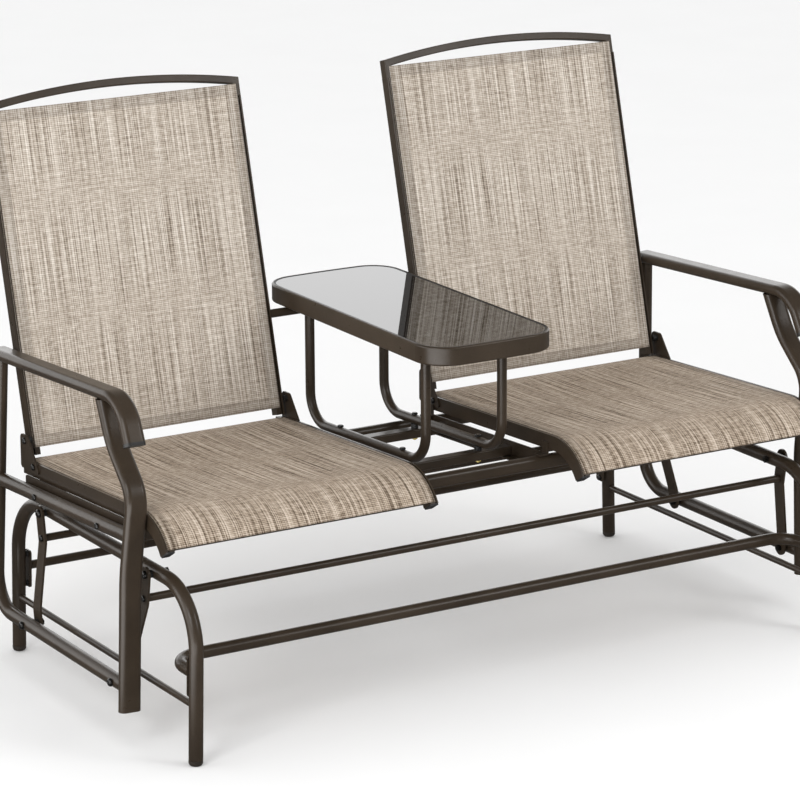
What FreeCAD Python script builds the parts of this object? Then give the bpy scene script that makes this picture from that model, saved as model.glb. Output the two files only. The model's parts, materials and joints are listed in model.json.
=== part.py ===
import FreeCAD, Part
import math
import os
import re
import Sketcher

# Two-seat glider bench with a small glass-topped table between the seats.
# X runs across the bench, Y from front to back, Z up. The floor is Z = 0 and the
# origin lies on it, midway between the four legs. Left means the -X side.

doc = FreeCAD.newDocument("glider_bench")
sheet = doc.addObject("Spreadsheet::Sheet", "Sizes")

# Sizes that can be set one by one, in mm (angles in degrees, rises in mm per mm)
driving = {
    # standing base
    "tube_dia": 25, "tube_wall": 1.5, "base_half": 650, "leg_y": 345, "top_rail_z": 302,
    "base_bend": 105, "base_lean": 1.5, "base_lean_z": 155, "foot_tall": 10, "foot_round": 6,
    "plug_deep": 15, "fit_gap": 0.3,
    "stretcher_dia": 12, "stretcher_z": 104,
    "front_tube_dia": 22, "front_tube_z": 162, "front_tube_y": 253, "front_tube_bend": 50,
    "plate_mid_z": 155, "plate_thick": 3, "front_plate_wide": 20, "front_plate_tall": 74,
    "rear_plate_wide": 24, "rear_plate_tall": 70, "plate_round": 6, "plate_bolt_pitch": 56,
    "rear_tube_dia": 16, "rear_tube_z": 160, "spacer_long": 5, "spacer_dia": 12,
    "bolt_dia": 6, "head_dia": 12, "head_tall": 3.6, "hole_play": 0.8,
    # swinging links
    "upper_pivot_y": 206, "lower_pivot_y": 175, "lower_pivot_z": 110, "link_wide": 28,
    "link_thick": 4, "link_top_gap": 19, "link_low_gap": 43, "link_top_straight": 52,
    "link_low_straight": 24, "link_bend": 12, "pivot_dia": 8, "pivot_play": 0.06,
    "open_pivot_play": 1.7, "bush_dia": 14, "pivot_head_dia": 15, "pivot_head_tall": 5.5,
    "nut_dia": 13, "nut_tall": 6, "link_tube_dia": 14, "link_tube_down": 44.5,
    # arm frames
    "arm_gap": 63, "arm_lean": 2, "oval_wide": 40, "oval_thick": 20,
    "upright_foot_z": 70, "upright_low_y": 221, "knee_z": 310,
    "front_y": 243, "front_z": 457, "neck_y": 166, "neck_z": 528,
    "upright_top_y": 118, "knee_bend": 300, "front_bend": 60, "neck_bend": 150,
    "rear_post_low_y": 308, "rear_post_top_y": 287, "rear_post_bend": 65,
    "arm_rise": 0.0575, "arm_level": 600.5, "arm_rear_y": 300, "arm_nose_y": 195.4,
    "arm_nose_bend": 70, "arm_end_y": 231, "arm_end_z": 545, "arm_plug_tall": 6,
    "upper_rail_level": 367, "arm_bolt_front_y": 120, "arm_bolt_rear_y": 126,
    # seats
    "seat_rise": 0.053, "rail_wide": 16, "rail_deep": 27, "rail_wall": 1.6,
    "rail_top_level": 411, "rail_rear_y": 240, "rail_nose_y": 266, "rail_nose_bend": 95,
    "rail_end_y": 298.5, "rail_end_drop": 47, "inner_rail_x": 158.5, "outer_rail_gap": 24,
    "groove_wide": 3, "groove_deep": 7, "groove_in": 4.5, "cap_thick": 2.5,
    "sling_thick": 1.2, "sling_tab": 4, "sling_rear_y": 222,
    "spreader_dia": 12, "spreader_back": 10, "rear_spreader_y": 178,
    # frame under the seats
    "strip_tall": 30, "strip_foot": 20, "strip_thick": 3, "strip_front_y": 212,
    "strip_rear_y": 215, "strip_level": 372, "inner_strip_x": 147.5,
    "member_level": 360, "member_tall": 26, "member_deep": 20, "front_member_y": 190,
    "rear_member_y": 200, "bar_deep": 25, "bar_tall": 17, "front_bar_y": 72,
    "rear_bar_y": 150, "bracket_wide": 18, "bracket_thick": 3, "bracket_foot": 20,
    "bracket_lap": 13,
    # backs
    "back_lean": 14.6, "back_foot_y": 222, "back_foot_z": 406, "back_post_long": 594,
    "back_inner_x": 165, "back_outer_in": 10, "back_rail_deep": 20, "arch_corner_up": 20,
    "arch_rise": 44, "arch_tall": 14, "arch_corner": 13, "arch_flat": 13.18,
    "back_sling_low": 6, "back_sling_high": 604, "back_spreader_up": 40,
    "tie_bar_dia": 16, "tie_bar_up": 187,
    "back_bolt_y": 227.5, "back_bolt_z": 434.4, "seat_bolt_y": 194, "seat_bolt_z": 393.5,
    "back_plate_front": 26, "back_plate_rear": 17, "back_plate_margin": 11,
    "bracket_top_round": 9,
    # table
    "table_half": 134, "table_front_y": 265, "table_rear_y": 350, "table_round": 61,
    "table_bulge": 4, "table_end_bend": 1500, "table_top_z": 632, "rim_tall": 34,
    "rim_wall": 3, "rim_ledge": 14, "rim_lip": 4, "glass_thick": 5, "glass_sunk": 1,
    "rim_edge": 3.5, "table_bar_wide": 25, "table_bar_tall": 12,
    "leg_tube_dia": 18, "table_leg_x": 80, "table_leg_front_y": 152.5,
    "table_leg_rear_y": 261, "table_leg_bend": 55, "table_leg_level": 385.5,
}

# Places and sizes that follow from the ones above
derived = {
    "zero": "0",
    "link_top_x": "base_half + link_top_gap",
    "link_low_x": "base_half + link_low_gap",
    "arm_x": "base_half + arm_gap",
    "outer_rail_x": "base_half + outer_rail_gap",
    "back_outer_x": "outer_rail_x - back_outer_in",
    "tube_bore": "tube_dia - 2 * tube_wall",
    "base_place_x": "-base_half - base_lean_z * sin(base_lean)",
    "base_place_z": "base_lean_z * (1 - cos(base_lean))",
    "base_inner_y": "leg_y - tube_dia / 2",
    "stretcher_long": "2 * leg_y",
    "front_plate_y": "base_inner_y - plate_thick",
    "front_plate_half": "front_plate_wide / 2",
    "front_plate_low": "plate_mid_z - front_plate_tall / 2",
    "front_plate_high": "plate_mid_z + front_plate_tall / 2",
    "rear_plate_x": "tube_dia / 2 + spacer_long",
    "rear_plate_front": "leg_y - rear_plate_wide / 2",
    "rear_plate_back": "leg_y + rear_plate_wide / 2",
    "rear_plate_low": "plate_mid_z - rear_plate_tall / 2",
    "rear_plate_high": "plate_mid_z + rear_plate_tall / 2",
    "plate_bolt_low": "plate_mid_z - plate_bolt_pitch / 2",
    "plate_bolt_high": "plate_mid_z + plate_bolt_pitch / 2",
    "bolt_bore": "bolt_dia + hole_play",
    "rear_tube_end": "base_half - rear_plate_x - plate_thick - 2 * fit_gap",
    # links
    "link_fall": "upper_pivot_y - lower_pivot_y",
    "link_drop": "top_rail_z - lower_pivot_z",
    "link_long": "sqrt(link_fall * link_fall + link_drop * link_drop)",
    "link_angle": "atan(link_fall / link_drop) / 1deg",
    "link_end": "link_wide / 2",
    "link_top": "link_long + link_end",
    "link_knee_high": "link_long - link_top_straight",
    "link_corner": "link_wide / 2 - 0.1",
    "pivot_bore": "pivot_dia + 2 * pivot_play",
    "open_pivot_bore": "pivot_dia + 2 * open_pivot_play",
    "link_tube_y": "upper_pivot_y - link_tube_down * link_fall / link_drop",
    "link_tube_z": "top_rail_z - link_tube_down",
    "link_tube_half": "link_top_x - link_thick / 2",
    "top_rail_x": "base_half - (top_rail_z - base_lean_z) * sin(base_lean)",
    "upper_bush_start": "top_rail_x + tube_dia / 2 + fit_gap",
    "upper_link_in": "link_top_x - link_thick / 2",
    "upper_link_out": "link_top_x + link_thick / 2",
    "upper_nut_end": "top_rail_x - tube_dia / 2 - fit_gap",
    "lower_link_in": "link_low_x - link_thick / 2",
    "lower_link_out": "link_low_x + link_thick / 2",
    "lower_bush_end": "arm_x - tube_dia / 2 - fit_gap",
    "lower_head_start": "arm_x + tube_dia / 2 + fit_gap",
    # arm frames
    "oval_bore_wide": "oval_wide - 2 * tube_wall",
    "oval_bore_thick": "oval_thick - 2 * tube_wall",
    "arm_place_x": "-arm_x - lower_pivot_z * sin(arm_lean)",
    "arm_place_z": "lower_pivot_z * (1 - cos(arm_lean))",
    "upright_top_z": "arm_level + arm_rise * upright_top_y + oval_thick / 2",
    "lower_rail_front": "upright_low_y - oval_thick / 2",
    "arm_rear_z": "arm_level - arm_rise * arm_rear_y",
    "arm_nose_z": "arm_level + arm_rise * arm_nose_y",
    "arm_under_front": "arm_level + arm_rise * arm_nose_y - oval_thick / 2",
    "arm_over": "arm_level + oval_wide",
    "rail_front_z": "upper_rail_level + seat_rise * front_y",
    "rail_back_z": "upper_rail_level - seat_rise * rear_post_low_y",
    "arm_bolt_front_z": "upper_rail_level + seat_rise * arm_bolt_front_y",
    "arm_bolt_rear_z": "upper_rail_level - seat_rise * arm_bolt_rear_y",
    "upper_rail_x": "arm_x - (upper_rail_level - lower_pivot_z) * sin(arm_lean)",
    # seats
    "rail_middle": "rail_top_level - rail_deep / 2",
    "rail_rear_z": "rail_middle - seat_rise * rail_rear_y",
    "rail_nose_z": "rail_middle + seat_rise * rail_nose_y",
    "rail_end_z": "rail_nose_z - rail_end_drop",
    "sling_rear_z": "rail_middle - seat_rise * sling_rear_y",
    "inner_groove_x": "inner_rail_x - rail_wide / 2 + groove_in",
    "outer_groove_x": "outer_rail_x + rail_wide / 2 - groove_in",
    "spreader_y": "rail_end_y - spreader_back * 0.6",
    "spreader_z": "rail_end_z + spreader_back * 0.8",
    "rear_spreader_z": "rail_middle - seat_rise * rear_spreader_y",
    "spreader_long": "outer_rail_x - inner_rail_x - rail_wide",
    # frame under the seats
    "outer_strip_x": "upper_rail_x - tube_dia / 2 - 3 * fit_gap",
    "front_member_z": "member_level + seat_rise * front_member_y",
    "rear_member_z": "member_level - seat_rise * rear_member_y",
    "member_half": "outer_strip_x - strip_thick",
    "front_bar_z": "member_level + seat_rise * front_bar_y",
    "rear_bar_z": "member_level - seat_rise * rear_bar_y",
    "bar_half": "inner_strip_x - strip_thick",
    # backs
    "arch_corner_z": "back_post_long + arch_corner_up",
    "arch_peak_z": "arch_corner_z + arch_rise",
    "arch_half": "(back_outer_x - back_inner_x) / 2",
    "arch_slope": "atan(arch_rise / arch_half) / 1deg",
    "arch_side": "sqrt(arch_half * arch_half + arch_rise * arch_rise)",
    "arch_corner_run": "arch_corner * tan(45 - arch_slope / 2)",
    "arch_sweep": "(arch_side - arch_corner_run - arch_flat) * arch_half / arch_rise",
    "back_middle_x": "(back_inner_x + back_outer_x) / 2",
    "back_groove_inner": "back_inner_x - rail_wide / 2 + groove_in",
    "back_groove_outer": "back_outer_x + rail_wide / 2 - groove_in",
    "back_half_deep": "back_rail_deep / 2",
    "tie_bar_half": "back_inner_x - rail_wide / 2",
    # table
    "rim_low_z": "table_top_z - rim_tall",
    "glass_low_z": "table_top_z - glass_sunk - glass_thick",
    "ledge_low_z": "glass_low_z - rim_wall",
    "table_bar_z": "ledge_low_z - table_bar_tall",
    "table_leg_front_z": "table_leg_level + seat_rise * table_leg_front_y",
    "table_leg_rear_z": "table_leg_level - seat_rise * table_leg_rear_y",
    "leg_tube_bore": "leg_tube_dia - 2 * tube_wall",
    # further places
    "leg_low": "foot_tall + fit_gap",
    "tube_radius": "tube_dia / 2",
    "plug_radius": "tube_bore / 2 - hole_play",
    "plug_top": "foot_tall + plug_deep",
    "frame_pivot_bore": "pivot_dia + 2 * hole_play",
    "stretcher_x": "base_half - (stretcher_z - base_lean_z) * sin(base_lean)",
    "front_tube_bore": "front_tube_dia - 2 * tube_wall",
    "rear_tube_bore": "rear_tube_dia - 2 * tube_wall",
    "rear_tube_long": "2 * rear_tube_end",
    "bolt_radius": "bolt_dia / 2",
    "head_radius": "head_dia / 2",
    "head_edge": "head_tall * 0.8",
    "front_bolt_long": "plate_thick + bolt_dia",
    "rear_bolt_long": "plate_thick + spacer_long + bolt_dia",
    "spacer_bore_radius": "bolt_bore / 2",
    "spacer_radius": "spacer_dia / 2",
    "spacer_start": "tube_dia / 2 + fit_gap",
    "rear_plate_face": "rear_plate_x + plate_thick",
    "spacer_fit_long": "spacer_long - 2 * fit_gap",
    "pivot_radius": "pivot_dia / 2",
    "pivot_head_radius": "pivot_head_dia / 2",
    "pivot_head_edge": "pivot_head_tall * 0.85",
    "upper_head_x": "upper_link_out + fit_gap",
    "upper_bolt_long": "upper_head_x - upper_nut_end + nut_tall + 1",
    "nut_bore": "pivot_dia + fit_gap",
    "bush_bore_radius": "pivot_dia / 2 + pivot_play",
    "bush_radius": "bush_dia / 2",
    "upper_bush_long": "upper_link_in - upper_bush_start - fit_gap",
    "lower_bush_start": "lower_link_out + fit_gap",
    "lower_bush_long": "lower_bush_end - lower_bush_start",
    "lower_nut_start": "lower_link_in - fit_gap",
    "lower_bolt_long": "lower_head_start - lower_nut_start + nut_tall + 1",
    "link_tube_bore": "link_tube_dia - 2 * tube_wall",
    "link_tube_long": "2 * link_tube_half",
    "trim_rear_y": "arm_rear_y + oval_wide",
    "trim_rear_z": "arm_level - arm_rise * trim_rear_y - oval_thick / 2",
    "post_slope": "(rear_post_low_y - rear_post_top_y) / (arm_level - lower_pivot_z)",
    "cope_y": "rear_post_low_y - post_slope * (rail_back_z - lower_pivot_z)",
    "rail_back_y": "cope_y + 3 * fit_gap",
    "cope_dia": "tube_dia + 4 * fit_gap",
    "knee_slope": "(front_y - upright_low_y) / (front_z - knee_z)",
    "face_half": "oval_thick / 2 * sqrt(1 + knee_slope * knee_slope)",
    "face_low_y": "upright_low_y - face_half",
    "face_high_y": "front_y - face_half",
    "trim_front_y": "front_y + oval_wide",
    "arm_bolt_bore": "bolt_dia + 2 * hole_play",
    "arm_end_tilt": "atan((arm_end_y - arm_nose_y) / (arm_nose_z - arm_end_z)) / 1deg",
    "arm_end_angle": "arm_end_tilt - atan(arm_rise) / 1deg",
    # sections across the seat frame
    "strip_front_low": "strip_level + seat_rise * strip_front_y - strip_tall / 2",
    "strip_front_high": "strip_front_low + strip_tall",
    "strip_rear_low": "strip_level - seat_rise * strip_rear_y - strip_tall / 2",
    "strip_rear_high": "strip_rear_low + strip_tall",
    "strip_round": "strip_thick * 1.5",
    "inner_strip_front": "front_member_y - member_deep / 2",
    "inner_strip_rear": "rear_member_y - member_deep / 2",
    "inner_strip_front_z": "member_level + seat_rise * inner_strip_front",
    "inner_strip_rear_z": "member_level - seat_rise * inner_strip_rear",
    "inner_strip_step": "inner_strip_front_z - bar_tall / 2 - fit_gap - seat_rise * bar_deep / 2",
    "inner_strip_low": "inner_strip_step - strip_thick",
    "inner_strip_high": "inner_strip_low + strip_tall",
    "inner_strip_foot": "inner_strip_x - strip_foot",
    "strip_bolt_x": "inner_strip_x - strip_foot / 2 - strip_thick / 2",
    "bar_end": "bar_half - fit_gap",
    "bracket_half": "bracket_wide / 2",
    "bracket_tall": "rail_top_level - rail_deep - member_level - member_tall / 2 + bracket_lap",
    "inner_bracket_x": "inner_rail_x - rail_wide / 2",
    "outer_bracket_x": "outer_rail_x - rail_wide / 2",
    "inner_rear_bracket_x": "inner_bracket_x - plate_thick",
    "arm_bolt_x": "upper_rail_x + tube_dia / 2 + fit_gap",
    "arm_nut_x": "outer_strip_x - strip_thick",
    "small_nut_dia": "head_dia",
    "small_nut_tall": "head_tall",
    "arm_bolt_long": "arm_bolt_x - arm_nut_x + small_nut_tall + 1",
    # seat and back sections
    "rail_top": "rail_rear_z + rail_deep / 2",
    "rail_low": "rail_rear_z - rail_deep / 2",
    "rail_top_groove": "rail_top - groove_deep",
    "rail_top_in": "rail_top_groove - rail_wall",
    "rail_low_in": "rail_low + rail_wall",
    "seat_sling_under": "sling_rear_z + rail_deep / 2 + fit_gap",
    "seat_sling_top": "seat_sling_under + sling_thick",
    "seat_sling_tab": "seat_sling_under - sling_tab",
    "seat_sling_left": "-outer_groove_x - sling_thick / 2",
    "seat_sling_right": "-inner_groove_x + sling_thick / 2",
    "back_sling_left": "-back_groove_outer - sling_thick / 2",
    "back_sling_right": "-back_groove_inner + sling_thick / 2",
    "seat_sling_left_in": "seat_sling_left + sling_thick",
    "seat_sling_right_in": "seat_sling_right - sling_thick",
    "back_sling_left_in": "back_sling_left + sling_thick",
    "back_sling_right_in": "back_sling_right - sling_thick",
    "sling_front": "fit_gap + sling_thick",
    "back_sling_tab_top": "back_post_long - fit_gap",
    "back_sling_long": "back_sling_tab_top - back_sling_low",
    "back_sling_free": "back_sling_high - back_sling_tab_top",
    "rail_half_wide": "rail_wide / 2",
    "rail_half_deep": "rail_deep / 2",
    "cap_round": "rail_wide / 5",
    "rail_end_tilt": "atan((rail_end_y - rail_nose_y) / rail_end_drop) / 1deg",
    "rail_end_angle": "rail_end_tilt - atan(seat_rise) / 1deg",
    "spreader_left_x": "outer_rail_x - rail_wide / 2",
    "back_hollow_front": "groove_deep + rail_wall",
    "back_hollow_rear": "back_rail_deep - rail_wall",
    "arch_out": "back_outer_x + arch_tall / 2",
    "arch_in": "back_outer_x - arch_tall / 2",
    "arch_edge": "arch_tall / 7",
    "back_spreader_x": "back_outer_x - rail_wide / 2",
    "back_spreader_long": "back_outer_x - back_inner_x - rail_wide",
    "back_mid_y": "back_foot_y + back_half_deep * cos(back_lean)",
    "back_mid_z": "back_foot_z - back_half_deep * sin(back_lean)",
    "back_spreader_y": "back_mid_y + back_spreader_up * sin(back_lean)",
    "back_spreader_z": "back_mid_z + back_spreader_up * cos(back_lean)",
    "tie_bar_y": "back_mid_y + tie_bar_up * sin(back_lean)",
    "tie_bar_z": "back_mid_z + tie_bar_up * cos(back_lean)",
    "tie_bar_bore": "tie_bar_dia - 2 * tube_wall",
    "tie_bar_long": "2 * tie_bar_half",
    "outer_rail_face": "outer_rail_x + rail_wide / 2",
    "inner_rail_face": "inner_rail_x - rail_wide / 2",
    "outer_back_face": "back_outer_x + rail_wide / 2",
    "inner_back_face": "back_inner_x - rail_wide / 2",
    "outer_plate_x": "outer_rail_face + plate_thick",
    "inner_plate_x": "inner_rail_face",
    "outer_plate_gap": "outer_rail_face - outer_back_face",
    "inner_plate_gap": "inner_back_face - inner_rail_face",
    "outer_bolt_x": "outer_plate_x + fit_gap",
    "inner_bolt_x": "inner_plate_x - plate_thick - fit_gap",
    "outer_back_bolt_long": "plate_thick + outer_plate_gap",
    "inner_back_bolt_long": "plate_thick + inner_plate_gap",
    "back_plate_tip_y": "seat_bolt_y - back_plate_front",
    "back_plate_heel_y": "back_bolt_y + back_plate_rear",
    "back_plate_top_y": "back_bolt_y - back_plate_margin",
    "back_plate_low": "seat_bolt_z - back_plate_margin",
    "back_plate_high": "back_bolt_z + back_plate_margin",
    "bracket_round": "plate_round",
    # table sections
    "skirt_deep": "ledge_low_z - rim_low_z",
    "table_bar_near": "-table_bar_wide / 2",
    "table_bar_far": "table_bar_wide / 2",
    "table_bar_low": "table_bar_z",
    "table_bar_high": "ledge_low_z",
    "table_bar_half": "table_half - rim_wall - fit_gap",
    "table_bar_long": "2 * table_bar_half",
    "front_run_z": "table_leg_level + seat_rise * front_bar_y",
    "rear_run_z": "table_leg_level - seat_rise * rear_bar_y",
    "spacer_run": "3 * spacer_dia",
    "spacer_saddle_dia": "leg_tube_dia + 3 * fit_gap",
    "table_spacer_radius": "spacer_dia / 2 + 1",
    "table_spacer_blank": "table_leg_level - member_level - bar_tall / 2",
    "front_bolt_z": "front_run_z + leg_tube_dia / 2 + 2 * fit_gap",
    "rear_bolt_z": "rear_run_z + leg_tube_dia / 2 + 2 * fit_gap",
    "front_nut_z": "front_bar_low - small_nut_tall",
    "rear_nut_z": "rear_bar_low - small_nut_tall",
    "table_bolt_long": "front_bolt_z - front_nut_z + 2",
}

# Box sections: near and far along Y, low and high along Z, with their bores
for name, across, level, deep, tall, edge in (
        ("front_member", "-front_member_y", "front_member_z", "member_deep", "member_tall",
         "member_deep / 2 - 1"),
        ("rear_member", "rear_member_y", "rear_member_z", "member_deep", "member_tall",
         "member_deep / 2 - 1"),
        ("front_bar", "-front_bar_y", "front_bar_z", "bar_deep", "bar_tall", "bar_tall / 6"),
        ("rear_bar", "rear_bar_y", "rear_bar_z", "bar_deep", "bar_tall", "bar_tall / 6")):
    derived[name + "_near"] = "%s - %s / 2" % (across, deep)
    derived[name + "_far"] = "%s + %s / 2" % (across, deep)
    derived[name + "_low"] = "%s - %s / 2" % (level, tall)
    derived[name + "_high"] = "%s + %s / 2" % (level, tall)
    derived[name + "_edge"] = edge
derived["table_bar_edge"] = "table_bar_tall / 6"
for name in ("front_member", "rear_member", "front_bar", "rear_bar", "table_bar"):
    derived[name + "_near_in"] = name + "_near + tube_wall"
    derived[name + "_far_in"] = name + "_far - tube_wall"
    derived[name + "_low_in"] = name + "_low + tube_wall"
    derived[name + "_high_in"] = name + "_high - tube_wall"
    derived[name + "_edge_in"] = name + "_edge / 2"

# Grooved rails: left and right faces, hollow and groove edges
for name, middle, groove in (("inner_rail", "inner_rail_x", "inner_groove_x"),
                             ("outer_rail", "outer_rail_x", "outer_groove_x"),
                             ("back_inner", "back_inner_x", "back_groove_inner"),
                             ("back_outer", "back_outer_x", "back_groove_outer")):
    derived[name + "_left"] = "-%s - rail_wide / 2" % middle
    derived[name + "_right"] = "-%s + rail_wide / 2" % middle
    derived[name + "_left_in"] = "-%s - rail_wide / 2 + rail_wall" % middle
    derived[name + "_right_in"] = "-%s + rail_wide / 2 - rail_wall" % middle
    derived[name + "_groove_left"] = "-%s - groove_wide / 2" % groove
    derived[name + "_groove_right"] = "-%s + groove_wide / 2" % groove

# The four outlines of the table top lie one inside another
for outline_name, inset in (("rim", "zero"), ("skirt", "rim_wall"), ("ledge", "rim_ledge"),
                            ("recess", "rim_lip"), ("glass", "rim_lip + fit_gap")):
    derived[outline_name + "_half"] = "table_half - (%s)" % inset
    derived[outline_name + "_front"] = "table_front_y - (%s)" % inset
    derived[outline_name + "_front_mid"] = "table_front_y + table_bulge - (%s)" % inset
    derived[outline_name + "_rear"] = "table_rear_y - (%s)" % inset
    derived[outline_name + "_rear_mid"] = "table_rear_y + table_bulge - (%s)" % inset
    derived[outline_name + "_round"] = "table_round - (%s)" % inset

for row, (name, size) in enumerate(driving.items(), start=1):
    sheet.set("A%d" % row, name)
    sheet.set("B%d" % row, str(size))
    sheet.setAlias("B%d" % row, name)
for row, (name, formula) in enumerate(derived.items(), start=1):
    angled = re.sub(r"(sin|cos)\((\w+)\)", r"\1(\2 * 1deg)", formula)
    sheet.set("D%d" % row, name)
    sheet.set("E%d" % row, "=" + angled)
    sheet.setAlias("E%d" % row, name)
doc.recompute()


# Reading a size, with an optional leading minus, and binding a property to it
def size_of(name):
    return -float(sheet.get(name[1:])) if name[0] == "-" else float(sheet.get(name))


def formula_of(name):
    return re.sub(r"[a-z]+(_[a-z]+)+|zero", lambda found: "Sizes." + found.group(0), name)


def bind(item, prop, name):
    item.setExpression(prop, formula_of(name))


# A sketch on one of the body's own origin planes, lifted off it by a named size
def new_sketch(body, plane, at=None):
    sketch = body.newObject("Sketcher::SketchObject", body.Label + "_sketch")
    support = next(item for item in body.Origin.OriginFeatures if item.Role == plane)
    sketch.AttachmentSupport = (support, [""])
    sketch.MapMode = "FlatFace"
    if at:
        # the normal of the XZ plane points to -Y
        lift = "-(%s)" % at if plane == "XZ_Plane" else at
        bind(sketch, "AttachmentOffset.Base.z", lift)
    return sketch


def pin(sketch, item, end, across, up):
    for kind, name in (("DistanceX", across), ("DistanceY", up)):
        number = sketch.addConstraint(Sketcher.Constraint(kind, -1, 1, item, end, size_of(name)))
        bind(sketch, "Constraints[%d]" % number, name)


def fix_size(sketch, kind, item, name):
    number = sketch.addConstraint(Sketcher.Constraint(kind, item, size_of(name)))
    bind(sketch, "Constraints[%d]" % number, name)


# A line through named corners, rounded with a named radius at each corner that has one
def rounded_line(sketch, corners, bends, closed=False):
    points = [FreeCAD.Vector(size_of(u), size_of(v), 0) for u, v in corners]
    count = len(points)
    turns = range(count) if closed else range(1, count - 1)
    arcs = {}
    enters = {}
    leaves = {}
    for k in turns:
        if not bends[k]:
            continue
        before = (points[k - 1] - points[k]).normalize()
        after = (points[(k + 1) % count] - points[k]).normalize()
        half = before.getAngle(after) / 2
        radius = size_of(bends[k])
        enters[k] = points[k] + before * (radius / math.tan(half))
        leaves[k] = points[k] + after * (radius / math.tan(half))
        centre = points[k] + (before + after).normalize() * (radius / math.sin(half))
        left_turn = before.cross(after).z < 0
        first, last = (enters[k], leaves[k]) if left_turn else (leaves[k], enters[k])
        angles = [math.atan2(p.y - centre.y, p.x - centre.x) for p in (first, last)]
        circle = Part.Circle(centre, FreeCAD.Vector(0, 0, 1), radius)
        arc = sketch.addGeometry(Part.ArcOfCircle(circle, angles[0], angles[1]))
        arcs[k] = (arc, 1, 2) if left_turn else (arc, 2, 1)
    lines = {}
    for k in range(count if closed else count - 1):
        start = leaves.get(k, points[k])
        stop = enters.get((k + 1) % count, points[(k + 1) % count])
        lines[k] = sketch.addGeometry(Part.LineSegment(start, stop))
    for k in turns:
        line_in = lines[(k - 1) % count]
        line_out = lines[k]
        if k in arcs:
            arc, enter_end, leave_end = arcs[k]
            sketch.addConstraint(Sketcher.Constraint("Tangent", line_in, 2, arc, enter_end))
            sketch.addConstraint(Sketcher.Constraint("Tangent", arc, leave_end, line_out, 1))
            fix_size(sketch, "Radius", arc, bends[k])
            corner = sketch.addGeometry(Part.Point(points[k]), True)
            sketch.addConstraint(Sketcher.Constraint("PointOnObject", corner, 1, line_in))
            sketch.addConstraint(Sketcher.Constraint("PointOnObject", corner, 1, line_out))
            pin(sketch, corner, 1, *corners[k])
        else:
            sketch.addConstraint(Sketcher.Constraint("Coincident", line_in, 2, line_out, 1))
            pin(sketch, line_out, 1, *corners[k])
    if not closed:
        pin(sketch, lines[0], 1, *corners[0])
        pin(sketch, lines[count - 2], 2, *corners[-1])


def closed_outline(sketch, corners, bends=None):
    rounded_line(sketch, corners, bends or [None] * len(corners), closed=True)


def ring(sketch, across, up, dia):
    item = sketch.addGeometry(Part.Circle(
        FreeCAD.Vector(size_of(across), size_of(up), 0), FreeCAD.Vector(0, 0, 1), size_of(dia) / 2))
    pin(sketch, item, 3, across, up)
    fix_size(sketch, "Diameter", item, dia)


def new_body(label):
    return doc.addObject("PartDesign::Body", label)


def feature(body, kind, sketch):
    item = body.newObject("PartDesign::" + kind, body.Label + "_" + kind.lower())
    item.Profile = (sketch, [""])
    body.Tip = item
    return item


# Pads run towards +X, +Y or +Z from their sketch
def pad(body, sketch, thick, plane, both_ways=False):
    item = feature(body, "Pad", sketch)
    bind(item, "Length", thick)
    if both_ways:
        item.SideType = "Symmetric"
    elif plane == "XZ_Plane":
        item.Reversed = True
    doc.recompute()
    return item


# Cuts run both ways from their sketch, or towards +X, +Y or +Z only
def cut(body, sketch, plane, both_ways=True, deep=None):
    before = body.Shape.Volume
    item = feature(body, "Pocket", sketch)
    if deep:
        bind(item, "Length", deep)
        item.Reversed = plane != "XZ_Plane"
    else:
        item.Type = "ThroughAll"
        if both_ways:
            item.SideType = "Symmetric"
        else:
            item.Reversed = plane != "XZ_Plane"
    doc.recompute()
    if not body.Shape.Volume < before:
        raise RuntimeError(body.Label + ": a cut removed nothing")
    return item


def drill(body, plane, across, up, dia, both_ways=True, at=None):
    sketch = new_sketch(body, plane, at)
    ring(sketch, across, up, dia)
    cut(body, sketch, plane, both_ways)


# A section carried along a line; the section lies on an origin plane at the line's start
def carried(label, plane, corners, bends, section_plane, section_at, draw, at=None):
    body = new_body(label)
    line = new_sketch(body, plane, at)
    rounded_line(line, corners, [None] + bends + [None])
    section = new_sketch(body, section_plane, section_at)
    draw(section)
    doc.recompute()
    item = feature(body, "AdditivePipe", section)
    item.Spine = (line, [""])
    doc.recompute()
    return body


def tube_section(across, up, dia, bore=None):
    def draw(sketch):
        ring(sketch, across, up, dia)
        if bore:
            ring(sketch, across, up, bore)
    return draw


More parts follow.
